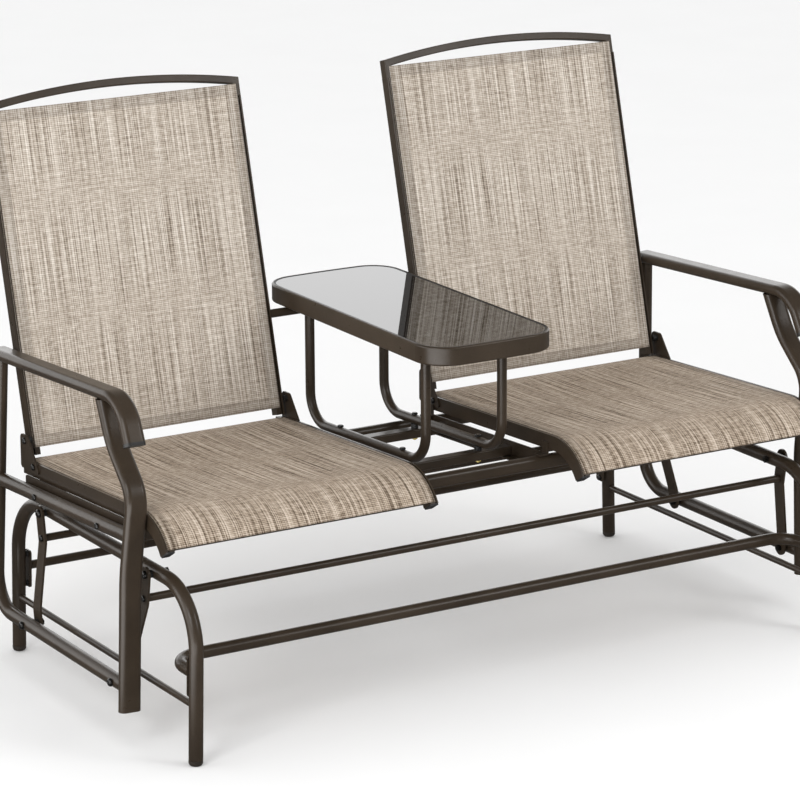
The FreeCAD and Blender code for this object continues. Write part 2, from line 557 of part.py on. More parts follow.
# A flat-oval outline, wide along the sketch's first axis
def oval(sketch, across, up, wide, thick):
    middle = FreeCAD.Vector(size_of(across), size_of(up), 0)
    radius = size_of(thick) / 2
    reach = size_of(wide) / 2 - radius
    ends = []
    for side in (1, -1):
        centre = middle + FreeCAD.Vector(side * reach, 0, 0)
        turn = 0 if side > 0 else math.pi
        circle = Part.Circle(centre, FreeCAD.Vector(0, 0, 1), radius)
        ends.append(sketch.addGeometry(
            Part.ArcOfCircle(circle, turn - math.pi / 2, turn + math.pi / 2)))
    right, left = ends
    top = sketch.addGeometry(Part.LineSegment(middle + FreeCAD.Vector(reach, radius, 0),
                                              middle + FreeCAD.Vector(-reach, radius, 0)))
    low = sketch.addGeometry(Part.LineSegment(middle + FreeCAD.Vector(-reach, -radius, 0),
                                              middle + FreeCAD.Vector(reach, -radius, 0)))
    for first, first_end, second, second_end in ((right, 2, top, 1), (top, 2, left, 1),
                                                 (left, 2, low, 1), (low, 2, right, 1)):
        sketch.addConstraint(Sketcher.Constraint("Tangent", first, first_end, second, second_end))
    sketch.addConstraint(Sketcher.Constraint("Horizontal", top))
    half = "(%s - %s) / 2" % (wide, thick)
    for item, side in ((right, "+"), (left, "-")):
        place = "%s %s %s" % (across, side, half)
        number = sketch.addConstraint(Sketcher.Constraint(
            "DistanceX", -1, 1, item, 3, middle.x + (reach if side == "+" else -reach)))
        bind(sketch, "Constraints[%d]" % number, place)
    number = sketch.addConstraint(Sketcher.Constraint("DistanceY", -1, 1, right, 3, middle.y))
    bind(sketch, "Constraints[%d]" % number, up)
    number = sketch.addConstraint(Sketcher.Constraint("Radius", right, radius))
    bind(sketch, "Constraints[%d]" % number, "%s / 2" % thick)


def oval_section(across, up, wide="oval_wide", thick="oval_thick",
                 bore_wide="oval_bore_wide", bore_thick="oval_bore_thick"):
    def draw(sketch):
        oval(sketch, across, up, wide, thick)
        if bore_wide:
            oval(sketch, across, up, bore_wide, bore_thick)
    return draw


# A flat piece cut from sheet or block: outline on a plane, thickness towards the + axis
def flat(label, plane, corners, thick, at=None, bends=None, both_ways=False):
    body = new_body(label)
    sketch = new_sketch(body, plane, at)
    closed_outline(sketch, corners, bends)
    pad(body, sketch, thick, plane, both_ways)
    return body


# A turned piece: half outline (radius, along) spun about the sketch's upright axis
def turned(label, corners, bends=None):
    body = new_body(label)
    sketch = new_sketch(body, "XZ_Plane")
    closed_outline(sketch, corners, bends)
    item = feature(body, "Revolution", sketch)
    item.ReferenceAxis = (sketch, ["V_Axis"])
    item.Angle = 360
    doc.recompute()
    return body


# Placing a body: a turn about an axis through the origin, then a shift by named sizes
def place(item, x="zero", y="zero", z="zero", axis=(0, 0, 1), turn=0, angle=None):
    start = 10 if angle else turn
    item.Placement = FreeCAD.Placement(
        FreeCAD.Vector(0, 0, 0), FreeCAD.Rotation(FreeCAD.Vector(*axis), start))
    for prop, name in (("x", x), ("y", y), ("z", z)):
        bind(item, "Placement.Base." + prop, name)
    if angle:
        bind(item, "Placement.Rotation.Angle", angle + " * 1deg")
    return item


nodes = {}
along_x = {"axis": (0, 1, 0), "turn": 90}
along_y = {"axis": (1, 0, 0), "turn": -90}
facing_left = {"axis": (0, 1, 0), "turn": -90}
facing_right = {"axis": (0, 1, 0), "turn": 90}


def node(name, item):
    nodes[name] = item
    return item


def mirror(item, across, label):
    copy = doc.addObject("Part::Mirroring", label)
    copy.Source = item
    copy.Normal = FreeCAD.Vector(1, 0, 0) if across == "X" else FreeCAD.Vector(0, 1, 0)
    return copy


# Left piece as it is, right piece as its mirror image
def pair(name, left):
    node(name + "_left", left)
    node(name + "_right", mirror(left, "X", name + "_right"))


def together(label, items):
    bundle = doc.addObject("Part::Compound", label)
    bundle.Links = items
    return bundle


# Pieces on the left side and their mirror images, kept together in one node
def group(name, left_items, front_and_rear=False, right=True):
    items = list(left_items)
    if front_and_rear:
        items += [mirror(item, "Y", item.Label + "_rear") for item in items]
    if right:
        items += [mirror(item, "X", item.Label + "_r") for item in items]
    return node(name, together(name, items))


def cylinder(label, dia, tall):
    item = doc.addObject("Part::Cylinder", label)
    bind(item, "Radius", "(%s) / 2" % dia)
    bind(item, "Height", tall)
    return item


def less(label, base, tools):
    for number, tool in enumerate(tools):
        result = doc.addObject("Part::Cut", "%s_%d" % (label, number))
        result.Base = base
        result.Tool = tool
        base = result
    return base


# A dome-headed bolt: the head stands above its origin, the shank hangs below it
def bolt(label, shank_radius, long, head_radius, tall, edge):
    return turned(label, [("zero", "-" + long), (shank_radius, "-" + long), (shank_radius, "zero"),
                          (head_radius, "zero"), (head_radius, tall), ("zero", tall)],
                  [None, None, None, None, edge, None])


# A ring: bush, spacer or washer, standing on its origin
def collar(label, bore_radius, radius, tall):
    return turned(label, [(bore_radius, "zero"), (radius, "zero"), (radius, tall),
                          (bore_radius, tall)])


# A hexagonal nut, standing on its origin
def nut(label, dia, tall, bore):
    block = doc.addObject("Part::Prism", label + "_block")
    block.Polygon = 6
    bind(block, "Circumradius", "%s / 2" % dia)
    bind(block, "Height", tall)
    return less(label, block, [cylinder(label + "_bore", bore, tall)])


def box_section(name, bore=True):
    def draw(sketch):
        for tag, edge in (("", "_edge"), ("_in", "_edge_in")) if bore else (("", "_edge"),):
            closed_outline(sketch, [(name + "_near" + tag, name + "_low" + tag),
                                    (name + "_far" + tag, name + "_low" + tag),
                                    (name + "_far" + tag, name + "_high" + tag),
                                    (name + "_near" + tag, name + "_high" + tag)],
                           [name + edge] * 4)
    return draw


def round_edges(body, numbers, radius):
    base = body.Tip
    rounding = body.newObject("PartDesign::Fillet", body.Label + "_rounding")
    rounding.Base = (base, ["Edge%d" % number for number in numbers])
    bind(rounding, "Radius", radius)
    body.Tip = rounding
    doc.recompute()


# A straight tube or bar: a section padded towards +X, +Y or +Z
def straight(label, plane, draw, long, at):
    body = new_body(label)
    sketch = new_sketch(body, plane, at)
    draw(sketch)
    pad(body, sketch, long, plane)
    return body


# Standing base: side frames, built upright at X = 0 and then leaned and shifted
def on_side_frame(item, y="zero"):
    return place(item, x="base_place_x", y=y, z="base_place_z", axis=(0, 1, 0), angle="base_lean")


def side_frame():
    body = carried("base_side_frame", "YZ_Plane",
                   [("-leg_y", "leg_low"), ("-leg_y", "top_rail_z"),
                    ("leg_y", "top_rail_z"), ("leg_y", "leg_low")],
                   ["base_bend", "base_bend"], "XY_Plane", "leg_low",
                   tube_section("zero", "-leg_y", "tube_dia", "tube_bore"))
    for y in ("-upper_pivot_y", "upper_pivot_y"):
        drill(body, "YZ_Plane", y, "top_rail_z", "frame_pivot_bore")
    for z in ("plate_bolt_low", "plate_bolt_high"):
        drill(body, "YZ_Plane", "leg_y", z, "bolt_bore", both_ways=False)
        sketch = new_sketch(body, "XZ_Plane", "-leg_y")
        ring(sketch, "zero", z, "bolt_bore")
        cut(body, sketch, "XZ_Plane", deep="tube_dia")
    return on_side_frame(body)


def stretcher():
    blank = place(cylinder("stretcher_blank", "stretcher_dia", "stretcher_long"),
                  x="-stretcher_x", y="-leg_y", z="stretcher_z", **along_y)
    legs = [on_side_frame(cylinder("stretcher_leg", "tube_dia", "top_rail_z"), y)
            for y in ("-leg_y", "leg_y")]
    return less("base_stretcher", blank, legs)


def plate(label, plane, low, high, near, far, at, bolt_across):
    body = flat(label, plane, [(near, low), (far, low), (far, high), (near, high)],
                "plate_thick", at, ["plate_round"] * 4)
    for z in ("plate_bolt_low", "plate_bolt_high"):
        drill(body, plane, bolt_across, z, "bolt_bore")
    return on_side_frame(body)


pair("base_side_frame", side_frame())
group("base_stretchers", [stretcher()])
node("base_front_tube", carried(
    "base_front_tube", "XY_Plane",
    [("-base_half", "-front_plate_y"), ("-base_half", "-front_tube_y"),
     ("base_half", "-front_tube_y"), ("base_half", "-front_plate_y")],
    ["front_tube_bend", "front_tube_bend"], "XZ_Plane", "-front_plate_y",
    tube_section("-base_half", "front_tube_z", "front_tube_dia", "front_tube_bore"),
    at="front_tube_z"))
node("base_rear_tube", straight(
    "base_rear_tube", "YZ_Plane", tube_section("leg_y", "rear_tube_z", "rear_tube_dia",
                                               "rear_tube_bore"),
    "rear_tube_long", "-rear_tube_end"))
group("base_front_plates", [plate("front_plate", "XZ_Plane", "front_plate_low",
                                  "front_plate_high", "-front_plate_half", "front_plate_half",
                                  "-base_inner_y", "zero")])
group("base_rear_plates", [plate("rear_plate", "YZ_Plane", "rear_plate_low", "rear_plate_high",
                                 "rear_plate_front", "rear_plate_back", "rear_plate_x",
                                 "leg_y")])

caps = place(turned("foot_cap", [("zero", "zero"), ("tube_radius", "zero"),
                                 ("tube_radius", "foot_tall"), ("plug_radius", "foot_tall"),
                                 ("plug_radius", "plug_top"), ("zero", "plug_top")],
                    [None, "foot_round", None, None, None, None]),
             x="base_place_x", y="-leg_y")
group("foot_caps", [caps], front_and_rear=True)

plate_bolts = []
plate_spacers = []
for z in ("plate_bolt_low", "plate_bolt_high"):
    plate_bolts.append(place(bolt("front_plate_bolt", "bolt_radius", "front_bolt_long",
                                  "head_radius", "head_tall", "head_edge"),
                             y="-front_plate_y", z=z, **along_y))
    plate_bolts.append(place(bolt("rear_plate_bolt", "bolt_radius", "rear_bolt_long",
                                  "head_radius", "head_tall", "head_edge"),
                             x="rear_plate_face", y="leg_y", z=z, **facing_right))
    plate_spacers.append(place(collar("plate_spacer", "spacer_bore_radius", "spacer_radius",
                                      "spacer_fit_long"),
                               x="spacer_start", y="leg_y", z=z, **facing_right))
group("base_plate_bolts", [on_side_frame(together("plate_bolts_leaned", plate_bolts))])
group("base_plate_spacers", [on_side_frame(together("plate_spacers_leaned", plate_spacers))])

# Upper pivots, fixed to the base rails
group("upper_pivot_bolts", [
    place(bolt("upper_pivot_bolt", "pivot_radius", "upper_bolt_long", "pivot_head_radius",
               "pivot_head_tall", "pivot_head_edge"),
          x="-upper_head_x", y="-upper_pivot_y", z="top_rail_z", **facing_left),
    place(nut("upper_pivot_nut", "nut_dia", "nut_tall", "nut_bore"),
          x="-upper_nut_end", y="-upper_pivot_y", z="top_rail_z", **facing_right)],
    front_and_rear=True)
group("upper_pivot_bushes", [
    place(collar("upper_pivot_bush", "bush_bore_radius", "bush_radius", "upper_bush_long"),
          x="-upper_bush_start", y="-upper_pivot_y", z="top_rail_z", **facing_left)],
    front_and_rear=True)


# Swinging links: joggled flat bars with round ends
def link(label, low_bore):
    def bar(sketch):
        closed_outline(sketch, [("-lower_link_out", "-link_end"), ("-lower_link_in", "-link_end"),
                                ("-lower_link_in", "link_end"), ("-lower_link_out", "link_end")])
    body = carried(label, "XZ_Plane",
                   [("-link_low_x", "-link_end"), ("-link_low_x", "link_low_straight"),
                    ("-link_top_x", "link_knee_high"), ("-link_top_x", "link_top")],
                   ["link_bend", "link_bend"], "XY_Plane", "-link_end", bar)
    thick = size_of("link_thick")
    ends = [number for number, edge in enumerate(body.Tip.Shape.Edges, start=1)
            if abs(edge.Length - thick) < 0.01 and abs(edge.tangentAt(0).x) > 0.99]
    round_edges(body, ends, "link_corner")
    drill(body, "YZ_Plane", "zero", "zero", low_bore)
    drill(body, "YZ_Plane", "zero", "link_long", "pivot_bore")
    return place(body, y="-lower_pivot_y", z="lower_pivot_z", axis=(1, 0, 0), angle="link_angle")


pair("front_link", link("front_link", "pivot_bore"))
pair("rear_link", mirror(link("rear_link_blank", "open_pivot_bore"), "Y", "rear_link"))
front_link_tube = node("front_link_tube", straight(
    "front_link_tube", "YZ_Plane",
    tube_section("-link_tube_y", "link_tube_z", "link_tube_dia", "link_tube_bore"),
    "link_tube_long", "-link_tube_half"))
node("rear_link_tube", mirror(front_link_tube, "Y", "rear_link_tube"))
link_screws = group("front_link_screws", [
    place(bolt("link_screw", "bolt_radius", "fit_gap", "head_radius", "head_tall", "head_edge"),
          x="-upper_head_x", y="-link_tube_y", z="link_tube_z", **facing_left)])
node("rear_link_screws", mirror(link_screws, "Y", "rear_link_screws"))


# Arm frames, built upright at X = 0 and then leaned and shifted
def on_arm(item):
    return place(item, x="arm_place_x", z="arm_place_z", axis=(0, 1, 0), angle="arm_lean")


def trim_under_armrest(body):
    sketch = new_sketch(body, "YZ_Plane")
    closed_outline(sketch, [("-arm_nose_y", "arm_under_front"), ("trim_rear_y", "trim_rear_z"),
                            ("trim_rear_y", "arm_over"), ("-arm_nose_y", "arm_over")])
    cut(body, sketch, "YZ_Plane")


def rear_post():
    body = carried("arm_rear_post", "YZ_Plane",
                   [("-lower_rail_front", "lower_pivot_z"), ("rear_post_low_y", "lower_pivot_z"),
                    ("rear_post_top_y", "arm_level")], ["rear_post_bend"],
                   "XZ_Plane", "-lower_rail_front",
                   tube_section("zero", "lower_pivot_z", "tube_dia", "tube_bore"))
    for y in ("-lower_pivot_y", "lower_pivot_y"):
        drill(body, "YZ_Plane", y, "lower_pivot_z", "frame_pivot_bore")
    trim_under_armrest(body)
    return on_arm(body)


def front_upright():
    body = carried("arm_front_upright", "YZ_Plane",
                   [("-upright_low_y", "upright_foot_z"), ("-upright_low_y", "knee_z"),
                    ("-front_y", "front_z"), ("-neck_y", "neck_z"),
                    ("-upright_top_y", "upright_top_z")],
                   ["knee_bend", "front_bend", "neck_bend"], "XY_Plane", "upright_foot_z",
                   oval_section("zero", "-upright_low_y"))
    trim_under_armrest(body)
    return on_arm(body)


def upper_rail():
    body = carried("arm_upper_rail", "YZ_Plane",
                   [("-front_y", "rail_front_z"), ("rail_back_y", "rail_back_z")], [],
                   "XZ_Plane", "-front_y",
                   tube_section("zero", "rail_front_z", "tube_dia", "tube_bore"))
    sketch = new_sketch(body, "YZ_Plane")
    closed_outline(sketch, [("-trim_front_y", "knee_z"), ("-face_low_y", "knee_z"),
                            ("-face_high_y", "front_z"), ("-trim_front_y", "front_z")])
    cut(body, sketch, "YZ_Plane")
    drill(body, "XY_Plane", "zero", "cope_y", "cope_dia")
    for y, z in (("-arm_bolt_front_y", "arm_bolt_front_z"), ("arm_bolt_rear_y", "arm_bolt_rear_z")):
        drill(body, "YZ_Plane", y, z, "arm_bolt_bore")
    return on_arm(body)


def armrest():
    return on_arm(carried("armrest", "YZ_Plane",
                          [("arm_rear_y", "arm_rear_z"), ("-arm_nose_y", "arm_nose_z"),
                           ("-arm_end_y", "arm_end_z")], ["arm_nose_bend"],
                          "XZ_Plane", "arm_rear_y", oval_section("zero", "arm_rear_z")))


def armrest_plug():
    body = straight("armrest_plug", "XY_Plane",
                    oval_section("zero", "zero", bore_wide=None), "arm_plug_tall",
                    "-arm_plug_tall")
    place(body, y="-arm_end_y", z="arm_end_z", axis=(1, 0, 0), angle="-arm_end_angle")
    return on_arm(together("armrest_plug_leaned", [body]))


pair("arm_rear_post", rear_post())
pair("arm_front_upright", front_upright())
group("arm_upper_rails", [upper_rail()])
pair("armrest", armrest())
group("armrest_plugs", [armrest_plug()])
group("lower_pivot_bolts", [
    place(bolt("lower_pivot_bolt", "pivot_radius", "lower_bolt_long", "pivot_head_radius",
               "pivot_head_tall", "pivot_head_edge"),
          x="-lower_head_start", y="-lower_pivot_y", z="lower_pivot_z", **facing_left),
    place(nut("lower_pivot_nut", "nut_dia", "nut_tall", "nut_bore"),
          x="-lower_nut_start", y="-lower_pivot_y", z="lower_pivot_z", **facing_right)],
    front_and_rear=True)
group("lower_pivot_bushes", [
    place(collar("lower_pivot_bush", "bush_bore_radius", "bush_radius", "lower_bush_long"),
          x="-lower_bush_start", y="-lower_pivot_y", z="lower_pivot_z", **facing_left)],
    front_and_rear=True)


# Frame under the seats
def outer_strip():
    body = flat("outer_strip", "YZ_Plane",
                [("-strip_front_y", "strip_front_low"), ("strip_rear_y", "strip_rear_low"),
                 ("strip_rear_y", "strip_rear_high"), ("-strip_front_y", "strip_front_high")],
                "strip_thick", "-outer_strip_x", ["strip_round"] * 4)
    for y, z in (("-arm_bolt_front_y", "arm_bolt_front_z"), ("arm_bolt_rear_y", "arm_bolt_rear_z")):
        drill(body, "YZ_Plane", y, z, "bolt_bore")
    return body


def inner_strip():
    def angle_section(sketch):
        closed_outline(sketch, [("-inner_strip_x", "inner_strip_low"),
                                ("-inner_strip_foot", "inner_strip_low"),
                                ("-inner_strip_foot", "inner_strip_step"),
                                ("-bar_half", "inner_strip_step"),
                                ("-bar_half", "inner_strip_high"),
                                ("-inner_strip_x", "inner_strip_high")])
    body = carried("inner_strip", "YZ_Plane",
                   [("-inner_strip_front", "inner_strip_front_z"),
                    ("inner_strip_rear", "inner_strip_rear_z")], [],
                   "XZ_Plane", "-inner_strip_front", angle_section)
    for y in ("-front_bar_y", "rear_bar_y"):
        drill(body, "XY_Plane", "-strip_bolt_x", y, "bolt_bore")
    return body


def cross_bar(name, half, bolt_y=None):
    body = straight(name, "YZ_Plane", box_section(name), "(%s) * 2" % half, "-" + half)
    if bolt_y:
        for x in ("-table_leg_x", "table_leg_x"):
            drill(body, "XY_Plane", x, bolt_y, "bolt_bore")
    return body


def rail_bracket():
    def angle_section(sketch):
        closed_outline(sketch, [("zero", "zero"), ("bracket_foot", "zero"),
                                ("bracket_foot", "bracket_thick"),
                                ("bracket_thick", "bracket_thick"),
                                ("bracket_thick", "bracket_tall"), ("zero", "bracket_tall")])
    return straight("rail_bracket", "XZ_Plane", angle_section, "bracket_wide", "-bracket_half")


group("outer_strips", [outer_strip()])
group("inner_strips", [inner_strip()])
node("front_member", cross_bar("front_member", "member_half"))
node("rear_member", cross_bar("rear_member", "member_half"))
group("table_support_bars", [cross_bar("front_bar", "bar_end", "-front_bar_y"),
                             cross_bar("rear_bar", "bar_end", "rear_bar_y")], right=False)
brackets = []
for x, y, z in (("-inner_bracket_x", "-front_member_y", "front_member_high"),
                ("-outer_bracket_x", "-front_member_y", "front_member_high"),
                ("-inner_rear_bracket_x", "rear_member_y", "rear_member_high"),
                ("-outer_bracket_x", "rear_member_y", "rear_member_high")):
    brackets.append(place(rail_bracket(), x=x, y=y, z=z))
group("rail_brackets", brackets)
arm_bolts = []
for y, z in (("-arm_bolt_front_y", "arm_bolt_front_z"), ("arm_bolt_rear_y", "arm_bolt_rear_z")):
    arm_bolts.append(place(bolt("arm_bolt", "bolt_radius", "arm_bolt_long", "head_radius",
                                "head_tall", "head_edge"), x="-arm_bolt_x", y=y, z=z,
                           **facing_left))
    arm_bolts.append(place(nut("arm_bolt_nut", "small_nut_dia", "small_nut_tall", "bolt_bore"),
                           x="-arm_nut_x", y=y, z=z, **facing_right))
group("arm_bolts", arm_bolts)


# Seats: grooved side rails, a sling held in the grooves, bars that keep the rails apart
def rail_section(side, top, low):
    def draw(sketch):
        closed_outline(sketch, [(side + "_left", low), (side + "_right", low),
                                (side + "_right", top), (side + "_groove_right", top),
                                (side + "_groove_right", top + "_groove"),
                                (side + "_groove_left", top + "_groove"),
                                (side + "_groove_left", top), (side + "_left", top)])
        closed_outline(sketch, [(side + "_left_in", low + "_in"), (side + "_right_in", low + "_in"),
                                (side + "_right_in", top + "_in"), (side + "_left_in", top + "_in")])
    return draw


def seat_line(start_y, start_z):
    return [(start_y, start_z), ("-rail_nose_y", "rail_nose_z"), ("-rail_end_y", "rail_end_z")]


def seat_rail(side):
    return carried(side + "_seat_rail", "YZ_Plane", seat_line("rail_rear_y", "rail_rear_z"),
                   ["rail_nose_bend"], "XZ_Plane", "rail_rear_y",
                   rail_section(side + "_rail", "rail_top", "rail_low"),
                   at="-" + side + "_rail_x")


def sling_outline(left, right, top, under, tab):
    return [(left, tab), (left + "_in", tab), (left + "_in", under), (right + "_in", under),
            (right + "_in", tab), (right, tab), (right, top), (left, top)]


def seat_sling():
    def draw(sketch):
        closed_outline(sketch, sling_outline("seat_sling_left", "seat_sling_right",
                                             "seat_sling_top", "seat_sling_under",
                                             "seat_sling_tab"))
    return carried("seat_sling", "YZ_Plane", seat_line("sling_rear_y", "sling_rear_z"),
                   ["rail_nose_bend"], "XZ_Plane", "sling_rear_y", draw, at="-inner_rail_x")


def rail_cap():
    body = flat("rail_cap", "XY_Plane", [("-rail_half_wide", "-rail_half_deep"),
                                         ("rail_half_wide", "-rail_half_deep"),
                                         ("rail_half_wide", "rail_half_deep"),
                                         ("-rail_half_wide", "rail_half_deep")],
                "cap_thick", "-cap_thick", ["cap_round"] * 4)
    return body


group("inner_seat_rails", [seat_rail("inner")])
group("outer_seat_rails", [seat_rail("outer")])
pair("seat_sling", seat_sling())
group("seat_rail_caps", [
    place(rail_cap(), x=x, y="-rail_end_y", z="rail_end_z", axis=(1, 0, 0),
          angle="-rail_end_angle") for x in ("-inner_rail_x", "-outer_rail_x")])
group("seat_spreaders", [
    place(cylinder("seat_spreader", "spreader_dia", "spreader_long"),
          x="-spreader_left_x", y=y, z=z, **along_x)
    for y, z in (("-spreader_y", "spreader_z"), ("rear_spreader_y", "rear_spreader_z"))])


# Backs, built upright at the origin and then leaned and shifted
def on_back(item):
    return place(item, y="back_foot_y", z="back_foot_z", axis=(1, 0, 0), angle="-back_lean")


def back_rail(side):
    name = "back_" + side

    def draw(sketch):
        closed_outline(sketch, [(name + "_left", "zero"), (name + "_groove_left", "zero"),
                                (name + "_groove_left", "groove_deep"),
                                (name + "_groove_right", "groove_deep"),
                                (name + "_groove_right", "zero"), (name + "_right", "zero"),
                                (name + "_right", "back_rail_deep"),
                                (name + "_left", "back_rail_deep")])
        closed_outline(sketch, [(name + "_left_in", "back_hollow_front"),
                                (name + "_right_in", "back_hollow_front"),
                                (name + "_right_in", "back_hollow_rear"),
                                (name + "_left_in", "back_hollow_rear")])
    return on_back(straight(name + "_rail", "XY_Plane", draw, "back_post_long", "zero"))


def back_arch():
    def draw(sketch):
        closed_outline(sketch, [("-arch_out", "zero"), ("-arch_in", "zero"),
                                ("-arch_in", "back_rail_deep"), ("-arch_out", "back_rail_deep")],
                       ["arch_edge"] * 4)
    return on_back(carried("back_arch", "XZ_Plane",
                           [("-back_outer_x", "back_post_long"),
                            ("-back_outer_x", "arch_corner_z"),
                            ("-back_middle_x", "arch_peak_z"),
                            ("-back_inner_x", "arch_corner_z"),
                            ("-back_inner_x", "back_post_long")],
                           ["arch_corner", "arch_sweep", "arch_corner"], "XY_Plane",
                           "back_post_long", draw, at="back_half_deep"))


def back_sling():
    def tabbed(sketch):
        closed_outline(sketch, sling_outline("back_sling_left", "back_sling_right",
                                             "-sling_front", "-fit_gap", "sling_tab"))
    body = straight("back_sling", "XY_Plane", tabbed, "back_sling_long", "back_sling_low")
    # above the rails the cloth goes on without its folded edges
    sketch = new_sketch(body, "XY_Plane", "back_sling_tab_top")
    closed_outline(sketch, [("back_sling_left", "-sling_front"),
                            ("back_sling_right", "-sling_front"),
                            ("back_sling_right", "-fit_gap"), ("back_sling_left", "-fit_gap")])
    pad(body, sketch, "back_sling_free", "XY_Plane")
    return on_back(body)


group("back_inner_rails", [back_rail("inner")])
group("back_outer_rails", [back_rail("outer")])
pair("back_arch", back_arch())
pair("back_sling", back_sling())
group("back_spreaders", [place(cylinder("back_spreader", "spreader_dia", "back_spreader_long"),
                               x="-back_spreader_x", y="back_spreader_y", z="back_spreader_z",
                               **along_x)])
node("rear_tie_bar", straight("rear_tie_bar", "YZ_Plane",
                              tube_section("tie_bar_y", "tie_bar_z", "tie_bar_dia",
                                           "tie_bar_bore"),
                              "tie_bar_long", "-tie_bar_half"))


# Plates that carry the backs on the seat rails
def back_plate(x):
    body = flat("back_plate", "YZ_Plane",
                [("back_plate_tip_y", "back_plate_low"), ("back_plate_heel_y", "back_plate_low"),
                 ("back_plate_heel_y", "back_plate_high"), ("back_plate_top_y", "back_plate_high")],
                "plate_thick", x, ["bracket_round", "bracket_round", "bracket_top_round",
                                   "bracket_top_round"])
    for y, z in (("back_bolt_y", "back_bolt_z"), ("seat_bolt_y", "seat_bolt_z")):
        drill(body, "YZ_Plane", y, z, "bolt_bore")
    return body


group("back_plates", [back_plate("-outer_plate_x"), back_plate("-inner_plate_x")])
group("back_plate_spacers", [
    place(collar("outer_plate_spacer", "spacer_bore_radius", "spacer_radius",
                 "outer_plate_gap"), x="-outer_rail_face", y="back_bolt_y", z="back_bolt_z",
          **facing_right),
    place(collar("inner_plate_spacer", "spacer_bore_radius", "spacer_radius",
                 "inner_plate_gap"), x="-inner_back_face", y="back_bolt_y", z="back_bolt_z",
          **facing_right)])


plate_bolts = []
for x, y, z, long, facing in (
        ("-outer_bolt_x", "seat_bolt_y", "seat_bolt_z", "plate_thick", facing_left),
        ("-outer_bolt_x", "back_bolt_y", "back_bolt_z", "outer_back_bolt_long", facing_left),
        ("-inner_bolt_x", "seat_bolt_y", "seat_bolt_z", "plate_thick", facing_right),
        ("-inner_bolt_x", "back_bolt_y", "back_bolt_z", "inner_back_bolt_long", facing_right)):
    plate_bolts.append(place(bolt("back_plate_bolt", "bolt_radius", long, "head_radius",
                                  "head_tall", "head_edge"), x=x, y=y, z=z, **facing))
group("back_plate_bolts", plate_bolts)


# Table: rim with a ledge, glass on the ledge, bars below it, two U-shaped legs
def table_outline(name):
    def draw(sketch):
        ends = [name + "_round", "table_end_bend", name + "_round"]
        closed_outline(sketch, [("-%s_half" % name, "-%s_front" % name),
                                ("zero", "-%s_front_mid" % name),
                                ("%s_half" % name, "-%s_front" % name),
                                ("%s_half" % name, "%s_rear" % name),
                                ("zero", "%s_rear_mid" % name),
                                ("-%s_half" % name, "%s_rear" % name)], ends * 2)
    return draw


def table_rim():
    body = straight("table_rim", "XY_Plane", table_outline("rim"), "rim_tall", "rim_low_z")
    top = size_of("table_top_z")
    low = size_of("rim_low_z")
    edges = [number for number, edge in enumerate(body.Tip.Shape.Edges, start=1)
             if abs(edge.BoundBox.ZLength) < 0.01
             and (abs(edge.BoundBox.ZMin - top) < 0.01 or abs(edge.BoundBox.ZMin - low) < 0.01)]
    round_edges(body, edges, "rim_edge")
    for outline, at, deep in (("skirt", "rim_low_z", "skirt_deep"), ("ledge", "rim_low_z", None),
                              ("recess", "glass_low_z", None)):
        sketch = new_sketch(body, "XY_Plane", at)
        table_outline(outline)(sketch)
        cut(body, sketch, "XY_Plane", both_ways=False, deep=deep)
    return body


def table_leg():
    body = carried("table_leg", "YZ_Plane",
                   [("-table_leg_front_y", "table_bar_z"),
                    ("-table_leg_front_y", "table_leg_front_z"),
                    ("table_leg_rear_y", "table_leg_rear_z"), ("table_leg_rear_y", "table_bar_z")],
                   ["table_leg_bend", "table_leg_bend"], "XY_Plane", "table_bar_z",
                   tube_section("-table_leg_x", "-table_leg_front_y", "leg_tube_dia",
                                "leg_tube_bore"), at="-table_leg_x")
    for y in ("-front_bar_y", "rear_bar_y"):
        drill(body, "XY_Plane", "-table_leg_x", y, "bolt_bore")
    return body


def table_bar(y):
    body = straight("table_bar", "YZ_Plane", box_section("table_bar"), "table_bar_long",
                    "-table_bar_half")
    return place(body, y=y)


node("table_rim", table_rim())
node("table_glass", straight("table_glass", "XY_Plane", table_outline("glass"), "glass_thick",
                             "glass_low_z"))
group("table_legs", [table_leg()])
group("table_bars", [table_bar("-table_leg_front_y"), table_bar("table_leg_rear_y")], right=False)
table_spacers = []
table_bolts = []
for tag, y in (("front", "-front_bar_y"), ("rear", "rear_bar_y")):
    run = place(cylinder("table_leg_run", "spacer_saddle_dia", "spacer_run"), x="-table_leg_x",
                y="(%s) - spacer_run / 2" % y, z=tag + "_run_z", **along_y)
    spacer = place(collar("table_spacer_blank", "spacer_bore_radius", "table_spacer_radius",
                          "table_spacer_blank"), x="-table_leg_x", y=y, z=tag + "_bar_high")
    table_spacers.append(less("table_spacer", spacer, [run]))
    table_bolts.append(place(bolt("table_bolt", "bolt_radius", "table_bolt_long", "head_radius",
                                  "head_tall", "head_edge"), x="-table_leg_x", y=y,
                             z=tag + "_bolt_z"))
    table_bolts.append(place(nut("table_nut", "small_nut_dia", "small_nut_tall", "bolt_bore"),
                             x="-table_leg_x", y=y, z=tag + "_nut_z"))
group("table_spacers", table_spacers)
group("table_bolts", table_bolts)


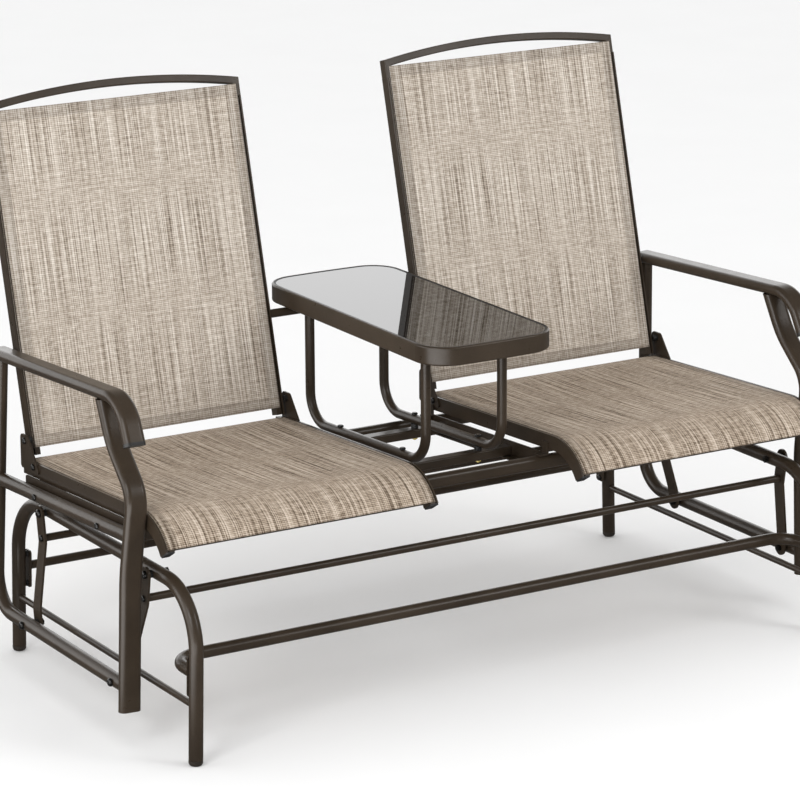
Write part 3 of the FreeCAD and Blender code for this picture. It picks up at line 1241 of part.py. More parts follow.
# Nothing is written unless every object and every node is sound
doc.recompute()
for item in doc.Objects:
    if "Invalid" in item.State or "Error" in item.State:
        raise RuntimeError("%s: %s" % (item.Label, item.State))
os.makedirs("parts", exist_ok=True)
for name, item in nodes.items():
    item.Label = name
    if item.Shape.isNull() or not item.Shape.isValid():
        raise RuntimeError(name + ": shape is empty or not valid")
for name, item in nodes.items():
    item.Shape.exportStep("parts/%s.step" % name)
    box = item.Shape.BoundBox
    print("%-24s %d solids, %9.0f mm3, X %.1f..%.1f Y %.1f..%.1f Z %.1f..%.1f" % (
        name, len(item.Shape.Solids), item.Shape.Volume, box.XMin, box.XMax, box.YMin, box.YMax,
        box.ZMin, box.ZMax))
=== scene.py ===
import json
import math
import bpy
import bmesh
from mathutils import Matrix, Vector


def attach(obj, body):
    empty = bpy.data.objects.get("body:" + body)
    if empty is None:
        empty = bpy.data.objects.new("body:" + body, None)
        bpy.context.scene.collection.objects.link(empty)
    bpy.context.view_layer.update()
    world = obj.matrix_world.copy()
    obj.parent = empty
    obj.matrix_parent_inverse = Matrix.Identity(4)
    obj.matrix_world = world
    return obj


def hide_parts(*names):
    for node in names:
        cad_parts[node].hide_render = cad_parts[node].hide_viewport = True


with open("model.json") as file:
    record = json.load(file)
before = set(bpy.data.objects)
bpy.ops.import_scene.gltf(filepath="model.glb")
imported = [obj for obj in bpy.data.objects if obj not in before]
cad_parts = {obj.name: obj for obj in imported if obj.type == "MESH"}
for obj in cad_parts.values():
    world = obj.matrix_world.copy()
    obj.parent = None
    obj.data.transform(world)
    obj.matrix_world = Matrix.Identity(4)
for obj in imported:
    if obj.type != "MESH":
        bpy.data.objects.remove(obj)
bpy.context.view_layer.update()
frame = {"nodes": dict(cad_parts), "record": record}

nodes = frame["nodes"]
print("frame loaded,", len(nodes), "pieces from the model")


# Camera: the photograph's standpoint, solved from the bench's own straight lines
view = {"turn": -30.95, "height": 15.54, "roll": -0.31, "lens": 167.98, "sensor": 36,
        "reach": 60, "place": (-3.39293, -5.58862, 2.27995)}


def addCamera(view):
    turn, height, roll = (math.radians(view[key]) for key in ("turn", "height", "roll"))
    back = Vector((math.sin(turn) * math.cos(height), -math.cos(turn) * math.cos(height),
                   math.sin(height)))
    right = (-back).cross(Vector((0, 0, 1))).normalized()
    up = right.cross(-back)
    tilted = right * math.cos(roll) + up * math.sin(roll)
    raised = up * math.cos(roll) - right * math.sin(roll)
    data = bpy.data.cameras.new("camera")
    data.lens = view["lens"]
    data.sensor_width = view["sensor"]
    data.clip_end = view["reach"]
    camera = bpy.data.objects.new("camera", data)
    bpy.context.scene.collection.objects.link(camera)
    camera.matrix_world = Matrix((
        (tilted.x, raised.x, back.x, view["place"][0]),
        (tilted.y, raised.y, back.y, view["place"][1]),
        (tilted.z, raised.z, back.z, view["place"][2]),
        (0, 0, 0, 1)))
    bpy.context.scene.camera = camera


addCamera(view)
bpy.context.scene.view_settings.view_transform = "Standard"
print("camera set")


# Small helpers for node materials
def newMaterial(name):
    material = bpy.data.materials.new(name)
    material.use_nodes = True
    tree = material.node_tree
    return material, tree, tree.nodes["Principled BSDF"]


def addNode(tree, kind, **settings):
    node = tree.nodes.new(kind)
    for key, value in settings.items():
        if key in node.inputs:
            node.inputs[key].default_value = value
        else:
            setattr(node, key, value)
    return node


def objectPlace(tree):
    return addNode(tree, "ShaderNodeTexCoord").outputs["Object"]


def splitAxes(tree, vector):
    split = addNode(tree, "ShaderNodeSeparateXYZ")
    tree.links.new(vector, split.inputs["Vector"])
    return split.outputs["X"], split.outputs["Y"], split.outputs["Z"]


def calc(tree, operation, first, second=None, clamp=False):
    node = tree.nodes.new("ShaderNodeMath")
    node.operation = operation
    node.use_clamp = clamp
    for socket, value in zip(node.inputs, (first, second)):
        if value is None:
            continue
        if isinstance(value, (int, float)):
            socket.default_value = value
        else:
            tree.links.new(value, socket)
    return node.outputs[0]


# Patterns added up, each with its weight, on top of the total given
def weighted(tree, parts, total=None):
    for pattern, weight in parts:
        share = calc(tree, "MULTIPLY", pattern, weight)
        total = calc(tree, "ADD", share, total) if total is not None else share
    return total


def noiseFrom(tree, vector, scale, detail=3.0, roughness=0.55, stretch=None):
    if stretch:
        mapping = addNode(tree, "ShaderNodeMapping", Scale=stretch)
        tree.links.new(vector, mapping.inputs["Vector"])
        vector = mapping.outputs["Vector"]
    noise = addNode(tree, "ShaderNodeTexNoise", Scale=scale, Detail=detail, Roughness=roughness)
    tree.links.new(vector, noise.inputs["Vector"])
    return noise.outputs["Fac"]


def colourRamp(tree, factor, stops):
    ramp = tree.nodes.new("ShaderNodeValToRGB")
    while len(ramp.color_ramp.elements) < len(stops):
        ramp.color_ramp.elements.new(0.5)
    for element, (place, colour) in zip(ramp.color_ramp.elements, stops):
        element.position = place
        element.color = (*colour, 1)
    tree.links.new(factor, ramp.inputs["Fac"])
    return ramp.outputs["Color"]


def mixColour(tree, kind, factor, first, second):
    mix = addNode(tree, "ShaderNodeMix", data_type="RGBA", blend_type=kind)
    for socket, value in ((mix.inputs[0], factor), (mix.inputs[6], first), (mix.inputs[7], second)):
        if isinstance(value, (int, float)):
            socket.default_value = value
        elif isinstance(value, tuple):
            socket.default_value = (*value, 1)
        else:
            tree.links.new(value, socket)
    return mix.outputs[2]


# Roughness that runs from low by the given swing, along a pattern
def roughFrom(tree, shader, pattern, low, swing):
    rough = calc(tree, "ADD", calc(tree, "MULTIPLY", pattern, swing), low)
    tree.links.new(rough, shader.inputs["Roughness"])


def bumpFrom(tree, shader, height, strength, distance):
    bump = addNode(tree, "ShaderNodeBump", Strength=strength, Distance=distance)
    tree.links.new(height, bump.inputs["Height"])
    tree.links.new(bump.outputs["Normal"], shader.inputs["Normal"])


# Powder coat: fine orange-peel grain, slight cloudiness, a few duller scuffs
powderCoat = {"dark": (0.0260, 0.0180, 0.0115), "light": (0.0480, 0.0345, 0.0230),
              "darkTo": 0.36, "lightFrom": 0.64, "grain": 900, "grainShare": 0.45,
              "cloud": 7, "cloudShare": 0.55, "scuff": 60, "scuffing": 0.16,
              "roughness": 0.22, "gloss": 0.30, "bumpStrength": 0.55, "bump": 0.0001}


def makePowderCoat(name, look):
    material, tree, shader = newMaterial(name)
    place = objectPlace(tree)
    grain = noiseFrom(tree, place, look["grain"], detail=2.0)
    cloud = noiseFrom(tree, place, look["cloud"], detail=4.0)
    tone = weighted(tree, ((grain, look["grainShare"]), (cloud, look["cloudShare"])))
    colour = colourRamp(tree, tone, [(look["darkTo"], look["dark"]),
                                     (look["lightFrom"], look["light"])])
    tree.links.new(colour, shader.inputs["Base Color"])
    scuffs = noiseFrom(tree, place, look["scuff"], detail=6.0, roughness=0.7)
    roughFrom(tree, shader, scuffs, look["roughness"], look["scuffing"])
    bumpFrom(tree, shader, grain, look["bumpStrength"], look["bump"])
    shader.inputs["Specular IOR Level"].default_value = look["gloss"]
    return material


framePaint = makePowderCoat("framePaint", powderCoat)
tablePaint = makePowderCoat("tablePaint", {**powderCoat, "dark": (0.030, 0.0212, 0.0138),
                                           "light": (0.052, 0.0378, 0.0256)})

# Moulded plastic: plugs, bushes, spacers and rail caps black, foot caps brown
plasticLook = {"dark": (0.008, 0.008, 0.008), "light": (0.020, 0.019, 0.018), "darkTo": 0.3,
               "lightFrom": 0.7, "mottle": 40, "grain": 1400, "roughness": 0.4, "dulling": 0.2,
               "bumpStrength": 0.5, "bump": 0.0001}


def makePlastic(name, look):
    material, tree, shader = newMaterial(name)
    place = objectPlace(tree)
    grain = noiseFrom(tree, place, look["grain"], detail=2.0)
    colour = colourRamp(tree, noiseFrom(tree, place, look["mottle"], detail=4.0),
                        [(look["darkTo"], look["dark"]), (look["lightFrom"], look["light"])])
    tree.links.new(colour, shader.inputs["Base Color"])
    roughFrom(tree, shader, grain, look["roughness"], look["dulling"])
    bumpFrom(tree, shader, grain, look["bumpStrength"], look["bump"])
    return material


blackPlastic = makePlastic("blackPlastic", plasticLook)
brownPlastic = makePlastic("brownPlastic", {**plasticLook, "dark": (0.018, 0.0135, 0.0095),
                                            "light": (0.034, 0.0255, 0.018), "roughness": 0.32})

# Bolts: blackened steel. The table's bolts are bare zinc below a level that falls to the rear
boltLook = {"dark": (0.004, 0.0035, 0.003), "light": (0.013, 0.0115, 0.010), "darkTo": 0.3,
            "lightFrom": 0.75, "streak": 300, "roughness": 0.20, "dulling": 0.2, "metal": 0.25,
            "zinc": (0.66, 0.52, 0.16), "zincBelow": 0.3555, "zincFall": -0.053,
            "grain": 1500, "bumpStrength": 0.3, "bump": 0.0001}


def makeBoltSteel(name, look, withZinc=False):
    material, tree, shader = newMaterial(name)
    place = objectPlace(tree)
    streaks = noiseFrom(tree, place, look["streak"])
    colour = colourRamp(tree, streaks, [(look["darkTo"], look["dark"]),
                                        (look["lightFrom"], look["light"])])
    if withZinc:
        _, depth, height = splitAxes(tree, place)
        level = weighted(tree, ((depth, look["zincFall"]),))
        level = calc(tree, "ADD", level, look["zincBelow"])
        colour = mixColour(tree, "MIX", calc(tree, "LESS_THAN", height, level), colour, look["zinc"])
    tree.links.new(colour, shader.inputs["Base Color"])
    roughFrom(tree, shader, streaks, look["roughness"], look["dulling"])
    shader.inputs["Metallic"].default_value = look["metal"]
    bumpFrom(tree, shader, noiseFrom(tree, place, look["grain"], detail=2.0), look["bumpStrength"],
             look["bump"])
    return material


boltSteel = makeBoltSteel("boltSteel", boltLook)
tableBoltSteel = makeBoltSteel("tableBoltSteel", boltLook, withZinc=True)

glassLook = {"colour": (0.004, 0.004, 0.004), "smeared": (0.007, 0.007, 0.0075), "clearTo": 0.3,
             "smearedFrom": 0.8, "smear": 14, "roughness": 0.012, "dulling": 0.02, "ior": 1.52,
             "wave": 5, "bumpStrength": 0.04, "bump": 0.0004}


def makeBlackGlass(name, look):
    material, tree, shader = newMaterial(name)
    place = objectPlace(tree)
    smears = noiseFrom(tree, place, look["smear"], detail=5.0, roughness=0.6)
    colour = colourRamp(tree, smears, [(look["clearTo"], look["colour"]),
                                       (look["smearedFrom"], look["smeared"])])
    tree.links.new(colour, shader.inputs["Base Color"])
    roughFrom(tree, shader, smears, look["roughness"], look["dulling"])
    shader.inputs["IOR"].default_value = look["ior"]
    bumpFrom(tree, shader, noiseFrom(tree, place, look["wave"], detail=2.0), look["bumpStrength"],
             look["bump"])
    return material


blackGlass = makeBlackGlass("blackGlass", glassLook)
print("paint, plastic, steel and glass made")


# Woven cloth: long streaky yarns one way, short dashes in even rows the other way, and darker
# hems. Sizes are in metres, patterns as (length across, length along)
clothLook = {
    "tones": [(0.34, (0.125, 0.098, 0.074)), (0.42, (0.33, 0.28, 0.225)),
              (0.485, (0.485, 0.43, 0.365)), (0.555, (0.63, 0.58, 0.51)),
              (0.65, (0.84, 0.80, 0.745))],
    "yarn": (0.0014, 0.22), "yarnShare": 0.54, "stripe": (0.005, 0.40), "stripeShare": 0.14,
    "dash": (0.011, 0.0068), "dashShare": 0.16, "cross": (1 / 14, 0.0050), "crossShare": 0.12,
    "row": 0.0034, "rowShare": 0.10, "even": 0.48, "paler": 0.01,
    "hemShade": 0.22, "seamIn": 0.003, "seamHalf": 0.0005, "stitch": 0.004, "stitchLong": 0.7,
    "stitchColour": (0.20, 0.155, 0.115), "stitchShade": 0.6,
    "weave": 0.0011, "weaveRelief": 0.3, "yarnRelief": 0.8, "rowRelief": 2.5,
    "bumpStrength": 0.6, "bump": 0.0005, "roughness": 0.95, "yarnSheen": -0.2, "gloss": 0.25}


def clothNoise(tree, uv, size, detail=1.0):
    return noiseFrom(tree, uv, 1.0, detail, roughness=0.6, stretch=(1 / size[0], 1 / size[1], 1))


def wave(tree, place, length):
    return calc(tree, "SINE", calc(tree, "MULTIPLY", place, math.tau / length))


def makeCloth(name, look, width, length, sideBand, endBand, tintAndShade, contrast=1.0):
    material, tree, shader = newMaterial(name)
    uv = addNode(tree, "ShaderNodeUVMap", uv_map="cloth").outputs["UV"]
    u, v, _ = splitAxes(tree, uv)
    yarn = clothNoise(tree, uv, look["yarn"])
    stripe = clothNoise(tree, uv, look["stripe"], detail=2.0)
    dash = clothNoise(tree, uv, look["dash"])
    cross = clothNoise(tree, uv, look["cross"])
    rows = calc(tree, "MULTIPLY", wave(tree, v, look["row"]),
                calc(tree, "MULTIPLY", dash, look["rowShare"]))
    tone = weighted(tree, ((yarn, look["yarnShare"]), (stripe, look["stripeShare"]),
                           (dash, look["dashShare"]), (cross, look["crossShare"])), rows)
    # contrast spreads the tones about that of even cloth
    tone = calc(tree, "ADD", calc(tree, "MULTIPLY", tone, contrast),
                look["even"] * (1 - contrast) + look["paler"])
    colour = colourRamp(tree, tone, look["tones"])
    # doubled cloth along sides and ends, and the stitched seam that closes it
    fromSide = calc(tree, "MINIMUM", u, calc(tree, "SUBTRACT", width, u))
    fromEnd = calc(tree, "MINIMUM", v, calc(tree, "SUBTRACT", length, v))
    doubled = calc(tree, "MAXIMUM", calc(tree, "LESS_THAN", fromSide, sideBand),
                   calc(tree, "LESS_THAN", fromEnd, endBand))
    dark = calc(tree, "SUBTRACT", 1.0, calc(tree, "MULTIPLY", doubled, look["hemShade"]))
    colour = mixColour(tree, "MULTIPLY", 1.0, colour, dark)
    # The tint multiplies the colour; for the seat it is also painted shade that darkens the back's
    # cloth
    colour = mixColour(tree, "MULTIPLY", 1.0, colour, tintAndShade)
    seams = []
    for across, along, band in ((fromSide, v, sideBand), (fromEnd, u, endBand)):
        gap = calc(tree, "ABSOLUTE", calc(tree, "SUBTRACT", across, band - look["seamIn"]))
        run = calc(tree, "FRACT", calc(tree, "DIVIDE", along, look["stitch"]))
        stitches = calc(tree, "LESS_THAN", run, look["stitchLong"])
        seam = calc(tree, "LESS_THAN", gap, look["seamHalf"])
        seams.append(calc(tree, "MULTIPLY", seam, stitches))
    stitched = calc(tree, "MULTIPLY", calc(tree, "MAXIMUM", *seams), look["stitchShade"])
    colour = mixColour(tree, "MIX", stitched, colour, look["stitchColour"])
    tree.links.new(colour, shader.inputs["Base Color"])
    # the weave itself: yarns over and under
    weave = calc(tree, "MULTIPLY", wave(tree, u, look["weave"]), wave(tree, v, look["weave"]))
    height = weighted(tree, ((rows, look["rowRelief"]), (yarn, look["yarnRelief"]),
                             (weave, look["weaveRelief"])))
    bumpFrom(tree, shader, height, look["bumpStrength"], look["bump"])
    roughFrom(tree, shader, yarn, look["roughness"], look["yarnSheen"])
    shader.inputs["Specular IOR Level"].default_value = look["gloss"]
    return material


def newPiece(name, work, material):
    mesh = bpy.data.meshes.new(name)
    work.to_mesh(mesh)
    work.free()
    mesh.materials.append(material)
    piece = bpy.data.objects.new(name, mesh)
    bpy.context.scene.collection.objects.link(piece)
    return piece


# A sheet gets its thickness: half to each side at offset 0, all of it in front at offset 1
def thickened(piece, thick, offset):
    solid = piece.modifiers.new("thickness", "SOLIDIFY")
    solid.thickness = thick
    solid.offset = offset
    return piece


# Slings: a stretched sheet whose side edges turn down into the rails' grooves. Foot, rear, nose
# and end are (Y, Z) in the side view, and low and high are measured up the leaning rails
backSling = {"left": -0.6668, "right": -0.1622, "low": 0.0135, "high": 0.6155, "lift": 0.0011,
             "tab": 0.0035, "bow": 0.0035, "rise": 1.25, "tauter": 0.55, "thick": 0.0011,
             "foot": (0.222, 0.406), "lean": 14.6, "across": 64, "along": 72,
             "sideBand": 0.027, "endBand": 0.021, "tintAndShade": (0.97, 0.945, 0.93)}
# The seat's tint is painted shade with a warmer tint: the back's cloth made darker for the dimmer
# light on the seat
seatSling = {"left": -0.6781, "right": -0.1544, "lift": 0.0010, "tab": 0.0035, "bow": 0.0065,
             "rise": 1.25, "sagReach": 1.05, "sagShape": 0.6, "thick": 0.0011,
             "rear": (0.222, 0.3857), "nose": (-0.266, 0.4116), "end": (-0.2971, 0.3666),
             "over": 0.0135, "bend": 0.095, "across": 64, "along": 110,
             "sideBand": 0.024, "endBand": 0.0, "tintAndShade": (0.745, 0.67, 0.60), "contrast": 1.45}


# Across a sling: up out of one groove, over to the other rail and down into its groove. Gives
# X, the drop into the groove (below zero) and how much of its bow the cloth has there
def slingAcross(sling, share):
    width = sling["right"] - sling["left"]
    run = share * (width + 2 * sling["tab"]) - sling["tab"]
    inner = max(0.0, min(run, width - run)) / (width / 2)
    return (sling["left"] + min(max(run, 0.0), width), min(run, width - run, 0.0),
            math.sqrt(min(1.0, inner * sling["rise"])))


# A place on the leaning back: up along its rails, and deep behind their front faces
def backPlace(x, up, deep):
    lean = math.radians(backSling["lean"])
    return Vector((x, backSling["foot"][0] + up * math.sin(lean) + deep * math.cos(lean),
                   backSling["foot"][1] + up * math.cos(lean) - deep * math.sin(lean)))


def backVertex(across, along):
    sling = backSling
    x, fold, crown = slingAcross(sling, across)
    up = sling["low"] + along * (sling["high"] - sling["low"])
    deep = sling["bow"] * crown * (1 - sling["tauter"] * along) - sling["lift"] - fold
    return backPlace(x, up, deep)


# The seat's side profile: straight run, bend over the nose, short drop
def seatProfile(sling):
    rear, nose, end = (Vector(sling[key]) for key in ("rear", "nose", "end"))
    first, second = nose - rear, end - nose
    turn = first.angle(second)
    cut = sling["bend"] * math.tan(turn / 2)
    outer = sling["bend"] + sling["over"]
    return {"rear": rear, "nose": nose, "forward": first.normalized(),
            "down": second.normalized(), "cut": cut, "outer": outer,
            "lengths": (first.length - cut, outer * turn, second.length - cut)}


def seatPoint(sling, profile, run, lift):
    straight, bent, _ = profile["lengths"]
    forward, down = profile["forward"], profile["down"]
    upright = Vector((forward.y, -forward.x))
    if run <= straight:
        spot, normal = profile["rear"] + forward * run, upright
    elif run <= straight + bent:
        angle = (run - straight) / profile["outer"]
        normal = Matrix.Rotation(angle, 2) @ upright
        spot = profile["rear"] + forward * straight + (normal - upright) * sling["bend"]
    else:
        spot = profile["nose"] + down * (profile["cut"] + run - straight - bent)
        normal = Vector((down.y, -down.x))
    return spot + normal * (sling["over"] + lift)


seatShape = seatProfile(seatSling)
seatLength = sum(seatShape["lengths"])


def seatVertex(across, along):
    sling = seatSling
    x, fold, crown = slingAcross(sling, across)
    sagging = math.sin(math.pi * min(1.0, along * sling["sagReach"])) ** sling["sagShape"]
    lift = sling["lift"] + fold - sling["bow"] * crown * sagging
    spot = seatPoint(sling, seatShape, along * seatLength, lift)
    return Vector((x, spot.x, spot.y))


def makeSling(name, sling, placeVertex, length, material, mirrored):
    width = sling["right"] - sling["left"] + 2 * sling["tab"]
    work = bmesh.new()
    bmesh.ops.create_grid(work, x_segments=sling["across"], y_segments=sling["along"], size=0.5)
    uvLayer = work.loops.layers.uv.new("cloth")
    shares = {vertex: (vertex.co.x + 0.5, vertex.co.y + 0.5) for vertex in work.verts}
    for face in work.faces:
        for loop in face.loops:
            across, along = shares[loop.vert]
            loop[uvLayer].uv = (across * width, along * length)
    for vertex, (across, along) in shares.items():
        vertex.co = placeVertex(across, along)
        if mirrored:
            vertex.co.x = -vertex.co.x
    bmesh.ops.recalc_face_normals(work, faces=work.faces)
    piece = newPiece(name, work, material)
    piece.data.shade_smooth()
    return thickened(piece, sling["thick"], 0)


backWidth = backSling["right"] - backSling["left"] + 2 * backSling["tab"]
backLength = backSling["high"] - backSling["low"]
seatWidth = seatSling["right"] - seatSling["left"] + 2 * seatSling["tab"]
backCloth = makeCloth("backCloth", clothLook, backWidth, backLength, backSling["sideBand"],
                      backSling["endBand"], backSling["tintAndShade"])
# The seat's cloth is a copy of the back's cloth, darker by painted shade
shadedSeatCloth = makeCloth("shadedSeatCloth", clothLook, seatWidth, seatLength, seatSling["sideBand"],
                      seatSling["endBand"], seatSling["tintAndShade"], seatSling["contrast"])
for side, mirrored in (("left", False), ("right", True)):
    back = makeSling("backSheet_" + side, backSling, backVertex, backLength, backCloth, mirrored)
    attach(back, "swing_seat")
    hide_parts("back_sling_" + side)
    seat = makeSling("seatSheet_" + side, seatSling, seatVertex, seatLength, shadedSeatCloth, mirrored)
    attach(seat, "swing_seat")
    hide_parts("seat_sling_" + side)
print("slings made")


# Arched top bars: each stands on its two back rails, with square mitred corners
archBar = {"out": 0.664, "in": 0.1635, "foot": 0.594, "corner": 0.622, "rise": 0.0215,
           "tall": 0.014, "deep": 0.020, "edge": 0.0018, "edgeSegments": 3, "steps": 48}


# The middle line of the bar: up one side, over the arc, down the other
def archPath(arch):
    half = (arch["out"] - arch["in"]) / 2
    middle = (arch["out"] + arch["in"]) / 2
    radius = (half * half + arch["rise"] ** 2) / (2 * arch["rise"])
    reach = math.asin(half / radius)
    points = [Vector((middle - half, arch["foot"]))]
    for step in range(arch["steps"] + 1):
        angle = reach * (2 * step / arch["steps"] - 1)
        drop = radius * (1 - math.cos(angle))
        points.append(Vector((middle + radius * math.sin(angle),
                              arch["corner"] + arch["rise"] - drop)))
    points.append(Vector((middle + half, arch["foot"])))
    return points


# The way across the bar at each point of its path, longer where the bar is mitred
def mitresOf(path):
    runs = [(after - before).normalized() for before, after in zip(path, path[1:])]
    mitres = []
    for first, second in zip(runs[:1] + runs, runs + runs[-1:]):
        along = (first + second).normalized()
        mitres.append(Vector((-along.y, along.x)) / along.dot(first))
    return mitres


# Places round the bar's section: across it, and deep behind the rails' faces
def archSection(arch):
    half, deep, edge = arch["tall"] / 2, arch["deep"], arch["edge"]
    ring = []
    for x, y, start in ((half - edge, deep - edge, 0), (edge - half, deep - edge, 90),
                        (edge - half, edge, 180), (half - edge, edge, 270)):
        for turn in range(arch["edgeSegments"] + 1):
            angle = math.radians(start + 90 * turn / arch["edgeSegments"])
            ring.append((x + edge * math.cos(angle), y + edge * math.sin(angle)))
    return ring


# A grid with a row for each point of the path is rolled up round the section, and both ends
# are closed
def makeArch(name, arch, sign):
    path, section = archPath(arch), archSection(arch)
    mitres = mitresOf(path)
    around, along = len(section), len(path) - 1
    work = bmesh.new()
    bmesh.ops.create_grid(work, x_segments=around, y_segments=along, size=0.5)
    for vertex in work.verts:
        across, deep = section[round((vertex.co.x + 0.5) * around) % around]
        step = round((vertex.co.y + 0.5) * along)
        spot = path[step] + mitres[step] * across
        vertex.co = backPlace(sign * spot.x, spot.y, deep)
    bmesh.ops.remove_doubles(work, verts=work.verts, dist=1e-6)
    bmesh.ops.holes_fill(work, edges=work.edges, sides=around)
    work.normal_update()
    bmesh.ops.recalc_face_normals(work, faces=work.faces)
    return newPiece(name, work, framePaint)


for side, sign in (("left", -1), ("right", 1)):
    arch = makeArch("archBar_" + side, archBar, sign)
    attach(arch, "swing_seat")
    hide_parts("back_arch_" + side)
print("arched bars made")


# Finishes of the model's own pieces, by slot, and of the nodes that differ from their slot
finishes = {"frame_paint": framePaint, "table_paint": tablePaint, "black_plastic": blackPlastic,
            "bolt_steel": boltSteel, "table_glass": blackGlass}
ownFinishes = {"table_bolts": tableBoltSteel, "foot_caps": brownPlastic}
slotOf = {entry["node"]: entry["material_slot"] for entry in frame["record"]["subparts"]}
for name, piece in nodes.items():
    material = ownFinishes.get(name, finishes.get(slotOf.get(name)))
    if material:
        for slot in piece.material_slots:
            slot.material = material

# The grooved rails have the narrow rounding of a rolled edge
rolledEdge = {"width": 0.0009, "segments": 2, "sharp": 40,
              "nodes": ["back_inner_rails", "back_outer_rails", "inner_seat_rails",
                        "outer_seat_rails"]}
for name in rolledEdge["nodes"]:
    rounding = nodes[name].modifiers.new("rolled edge", "BEVEL")
    rounding.width = rolledEdge["width"]
    rounding.segments = rolledEdge["segments"]
    rounding.limit_method = "ANGLE"
    rounding.angle_limit = math.radians(rolledEdge["sharp"])
print("finishes given")


# A node's triangles are loose, so a copy of its mesh is merged before it is measured
def mergedCopy(node):
    work = bmesh.new()
    work.from_mesh(node.data)
    bmesh.ops.remove_doubles(work, verts=work.verts, dist=1e-6)
    return work


# A black strip lies on the glass along the rim: painted shadow of the gap between the rim and the
# glass
gapShadow = {"wide": 0.0032, "tall": 0.0004, "level": 0.00001}


def makeGapShadow(name, gapShadow, glass):
    work = mergedCopy(glass)
    top = max(vertex.co.z for vertex in work.verts)
    below = [face for face in work.faces
             if min(vertex.co.z for vertex in face.verts) < top - gapShadow["level"]]
    bmesh.ops.delete(work, geom=below, context="FACES")
    inner = list(work.faces)
    bmesh.ops.inset_region(work, faces=inner, thickness=gapShadow["wide"], use_boundary=True,
                           use_even_offset=True)
    bmesh.ops.delete(work, geom=inner, context="FACES")
    return thickened(newPiece(name, work, blackPlastic), gapShadow["tall"], 1)


# Painted shadow round the edge of the glass, not a part of the table
glassGapShadow = makeGapShadow("glassGapShadow", gapShadow, nodes["table_glass"])
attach(glassGapShadow, "swing_seat")
print("glass seal made")


# Hexagonal socket of each dome bolt, shown by a thin dark plate on the tip of its head: painted
# shade of the recess
socket = {"radius": 0.0022, "narrowed": 0.92, "tall": 0.00025, "headShare": 0.3,
          "swing_seat": ["arm_bolts", "back_plate_bolts"], "base": ["base_plate_bolts"]}


# The bolts of a node, each as the places of its corners
def boltsOf(node):
    work = mergedCopy(node)
    seen = set()
    bolts = []
    for start in work.verts:
        if start in seen:
            continue
        seen.add(start)
        bolt, queue = [], [start]
        while queue:
            vertex = queue.pop()
            bolt.append(vertex.co.copy())
            for edge in vertex.link_edges:
                other = edge.other_vert(vertex)
                if other not in seen:
                    seen.add(other)
                    queue.append(other)
        bolts.append(bolt)
    work.free()
    return bolts


# Tip and direction of a bolt's head. The bolt is as wide as it is tall round its own axis, and
# the head is at its wider end
def headOf(bolt, look):
    low = Vector([min(place[axis] for place in bolt) for axis in range(3)])
    high = Vector([max(place[axis] for place in bolt) for axis in range(3)])
    size, middle = high - low, (low + high) / 2
    axis = min(range(3), key=lambda number: abs(size[number - 1] - size[number - 2]))
    widths = {}
    for sign, end in ((-1, low[axis]), (1, high[axis])):
        widths[sign] = max(math.hypot(place[axis - 1] - middle[axis - 1],
                                      place[axis - 2] - middle[axis - 2])
                           for place in bolt
                           if abs(place[axis] - end) < look["headShare"] * size[axis])
    outward = Vector((0, 0, 0))
    outward[axis] = max(widths, key=widths.get)
    return middle + outward * size[axis] / 2, outward


def makeSocketShades(name, bolts, look):
    work = bmesh.new()
    for bolt in bolts:
        tip, outward = headOf(bolt, look)
        turn = outward.to_track_quat("Z", "Y").to_matrix().to_4x4()
        bmesh.ops.create_cone(work, cap_ends=True, segments=6, radius1=look["radius"],
                              radius2=look["radius"] * look["narrowed"], depth=look["tall"],
                              matrix=Matrix.Translation(tip) @ turn)
    # The dark plates are painted shade inside the hexagonal recesses
    return newPiece(name, work, blackPlastic)


for body in ("swing_seat", "base"):
    bolts = [bolt for name in socket[body] for bolt in boltsOf(nodes[name])]
    print("bolt heads on", body, len(bolts))
    socketShades = makeSocketShades("boltSocketShades_" + body, bolts, socket)
    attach(socketShades, body)


# Floor, backdrop and soft lamps. Shiny surfaces see the mirrored values: a dim room with a pale
# wall behind, and a lit panel and a lit stretch of floor on the bench's left
studio = {"size": 14.0, "floorDark": (0.90, 0.90, 0.90), "floorLight": (0.93, 0.93, 0.93),
          "cloud": 3, "roughness": 0.9, "world": 1.0, "mirrored": 0.12,
          "wall": 2.1, "wallEdge": 2.5, "wallTop": 3.0, "wallFade": 5.0,
          "panel": 2.2, "panelEast": -0.72, "panelEdge": 8.0,
          "floorMirrored": 0.14, "floorPanel": 5.5, "panelFrom": -0.95, "panelBack": 0.05,
          "floorEdge": 4.0, "aim": (0.0, 0.0, 0.5),
          "lamps": [{"place": (-3.6, -2.2, 2.6), "size": 1.6, "power": 60},
                    {"place": (2.6, -3.6, 2.8), "size": 1.4, "power": 45}]}
white = (1, 1, 1, 1)


# Glossy rays get their own shader, all other rays the plain one
def mirrorApart(tree, plain, mirrored, output):
    path = addNode(tree, "ShaderNodeLightPath")
    mix = addNode(tree, "ShaderNodeMixShader")
    tree.links.new(path.outputs["Is Glossy Ray"], mix.inputs["Fac"])
    tree.links.new(plain, mix.inputs[1])
    tree.links.new(mirrored, mix.inputs[2])
    tree.links.new(mix.outputs["Shader"], tree.nodes[output].inputs["Surface"])


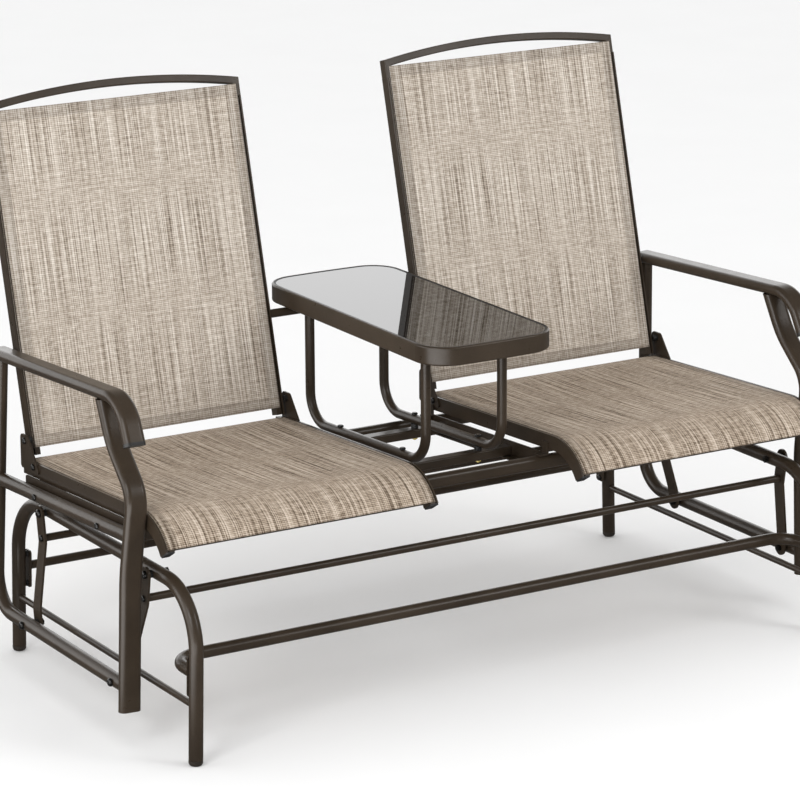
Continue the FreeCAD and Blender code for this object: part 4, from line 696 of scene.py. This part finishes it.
def addFloor(studio):
    material, tree, shader = newMaterial("paleFloor")
    place = objectPlace(tree)
    colour = colourRamp(tree, noiseFrom(tree, place, studio["cloud"]),
                        [(0.0, studio["floorDark"]), (1.0, studio["floorLight"])])
    tree.links.new(colour, shader.inputs["Base Color"])
    shader.inputs["Roughness"].default_value = studio["roughness"]
    east, north, _ = splitAxes(tree, place)
    lit = studio["floorPanel"]
    for edge, position in ((studio["panelFrom"], east), (studio["panelBack"], north)):
        inside = calc(tree, "MULTIPLY", calc(tree, "SUBTRACT", edge, position),
                      studio["floorEdge"], clamp=True)
        lit = calc(tree, "MULTIPLY", inside, lit)
    glow = addNode(tree, "ShaderNodeEmission", Color=white)
    tree.links.new(calc(tree, "ADD", lit, studio["floorMirrored"]), glow.inputs["Strength"])
    mirrorApart(tree, shader.outputs["BSDF"], glow.outputs["Emission"], "Material Output")
    work = bmesh.new()
    bmesh.ops.create_grid(work, x_segments=1, y_segments=1, size=studio["size"])
    newPiece("floor", work, material)


def addLamp(name, lamp, aim):
    data = bpy.data.lights.new(name, "AREA")
    data.size = lamp["size"]
    data.energy = lamp["power"]
    light = bpy.data.objects.new(name, data)
    bpy.context.scene.collection.objects.link(light)
    light.location = lamp["place"]
    light.rotation_euler = (Vector(aim) - Vector(lamp["place"])).to_track_quat("-Z", "Y").to_euler()


def setWorld(studio):
    world = bpy.data.worlds.new("studioWorld")
    bpy.context.scene.world = world
    world.use_nodes = True
    tree = world.node_tree
    even = tree.nodes["Background"]
    even.inputs["Color"].default_value = white
    even.inputs["Strength"].default_value = studio["world"]
    direction = addNode(tree, "ShaderNodeTexCoord").outputs["Generated"]
    east, north, height = splitAxes(tree, direction)
    behind = calc(tree, "MULTIPLY", north, studio["wallEdge"], clamp=True)
    low = calc(tree, "SUBTRACT", studio["wallTop"],
               calc(tree, "MULTIPLY", height, studio["wallFade"]), clamp=True)
    wall = calc(tree, "MULTIPLY", calc(tree, "MULTIPLY", behind, low), studio["wall"])
    beside = calc(tree, "MULTIPLY", calc(tree, "SUBTRACT", studio["panelEast"], east),
                  studio["panelEdge"], clamp=True)
    panel = calc(tree, "MULTIPLY", beside, studio["panel"])
    seen = calc(tree, "ADD", studio["mirrored"], calc(tree, "ADD", wall, panel))
    room = addNode(tree, "ShaderNodeBackground", Color=white)
    tree.links.new(seen, room.inputs["Strength"])
    mirrorApart(tree, even.outputs["Background"], room.outputs["Background"], "World Output")


addFloor(studio)
for number, lamp in enumerate(studio["lamps"]):
    addLamp("lamp%d" % number, lamp, studio["aim"])
setWorld(studio)
print("floor, lamps and backdrop set")
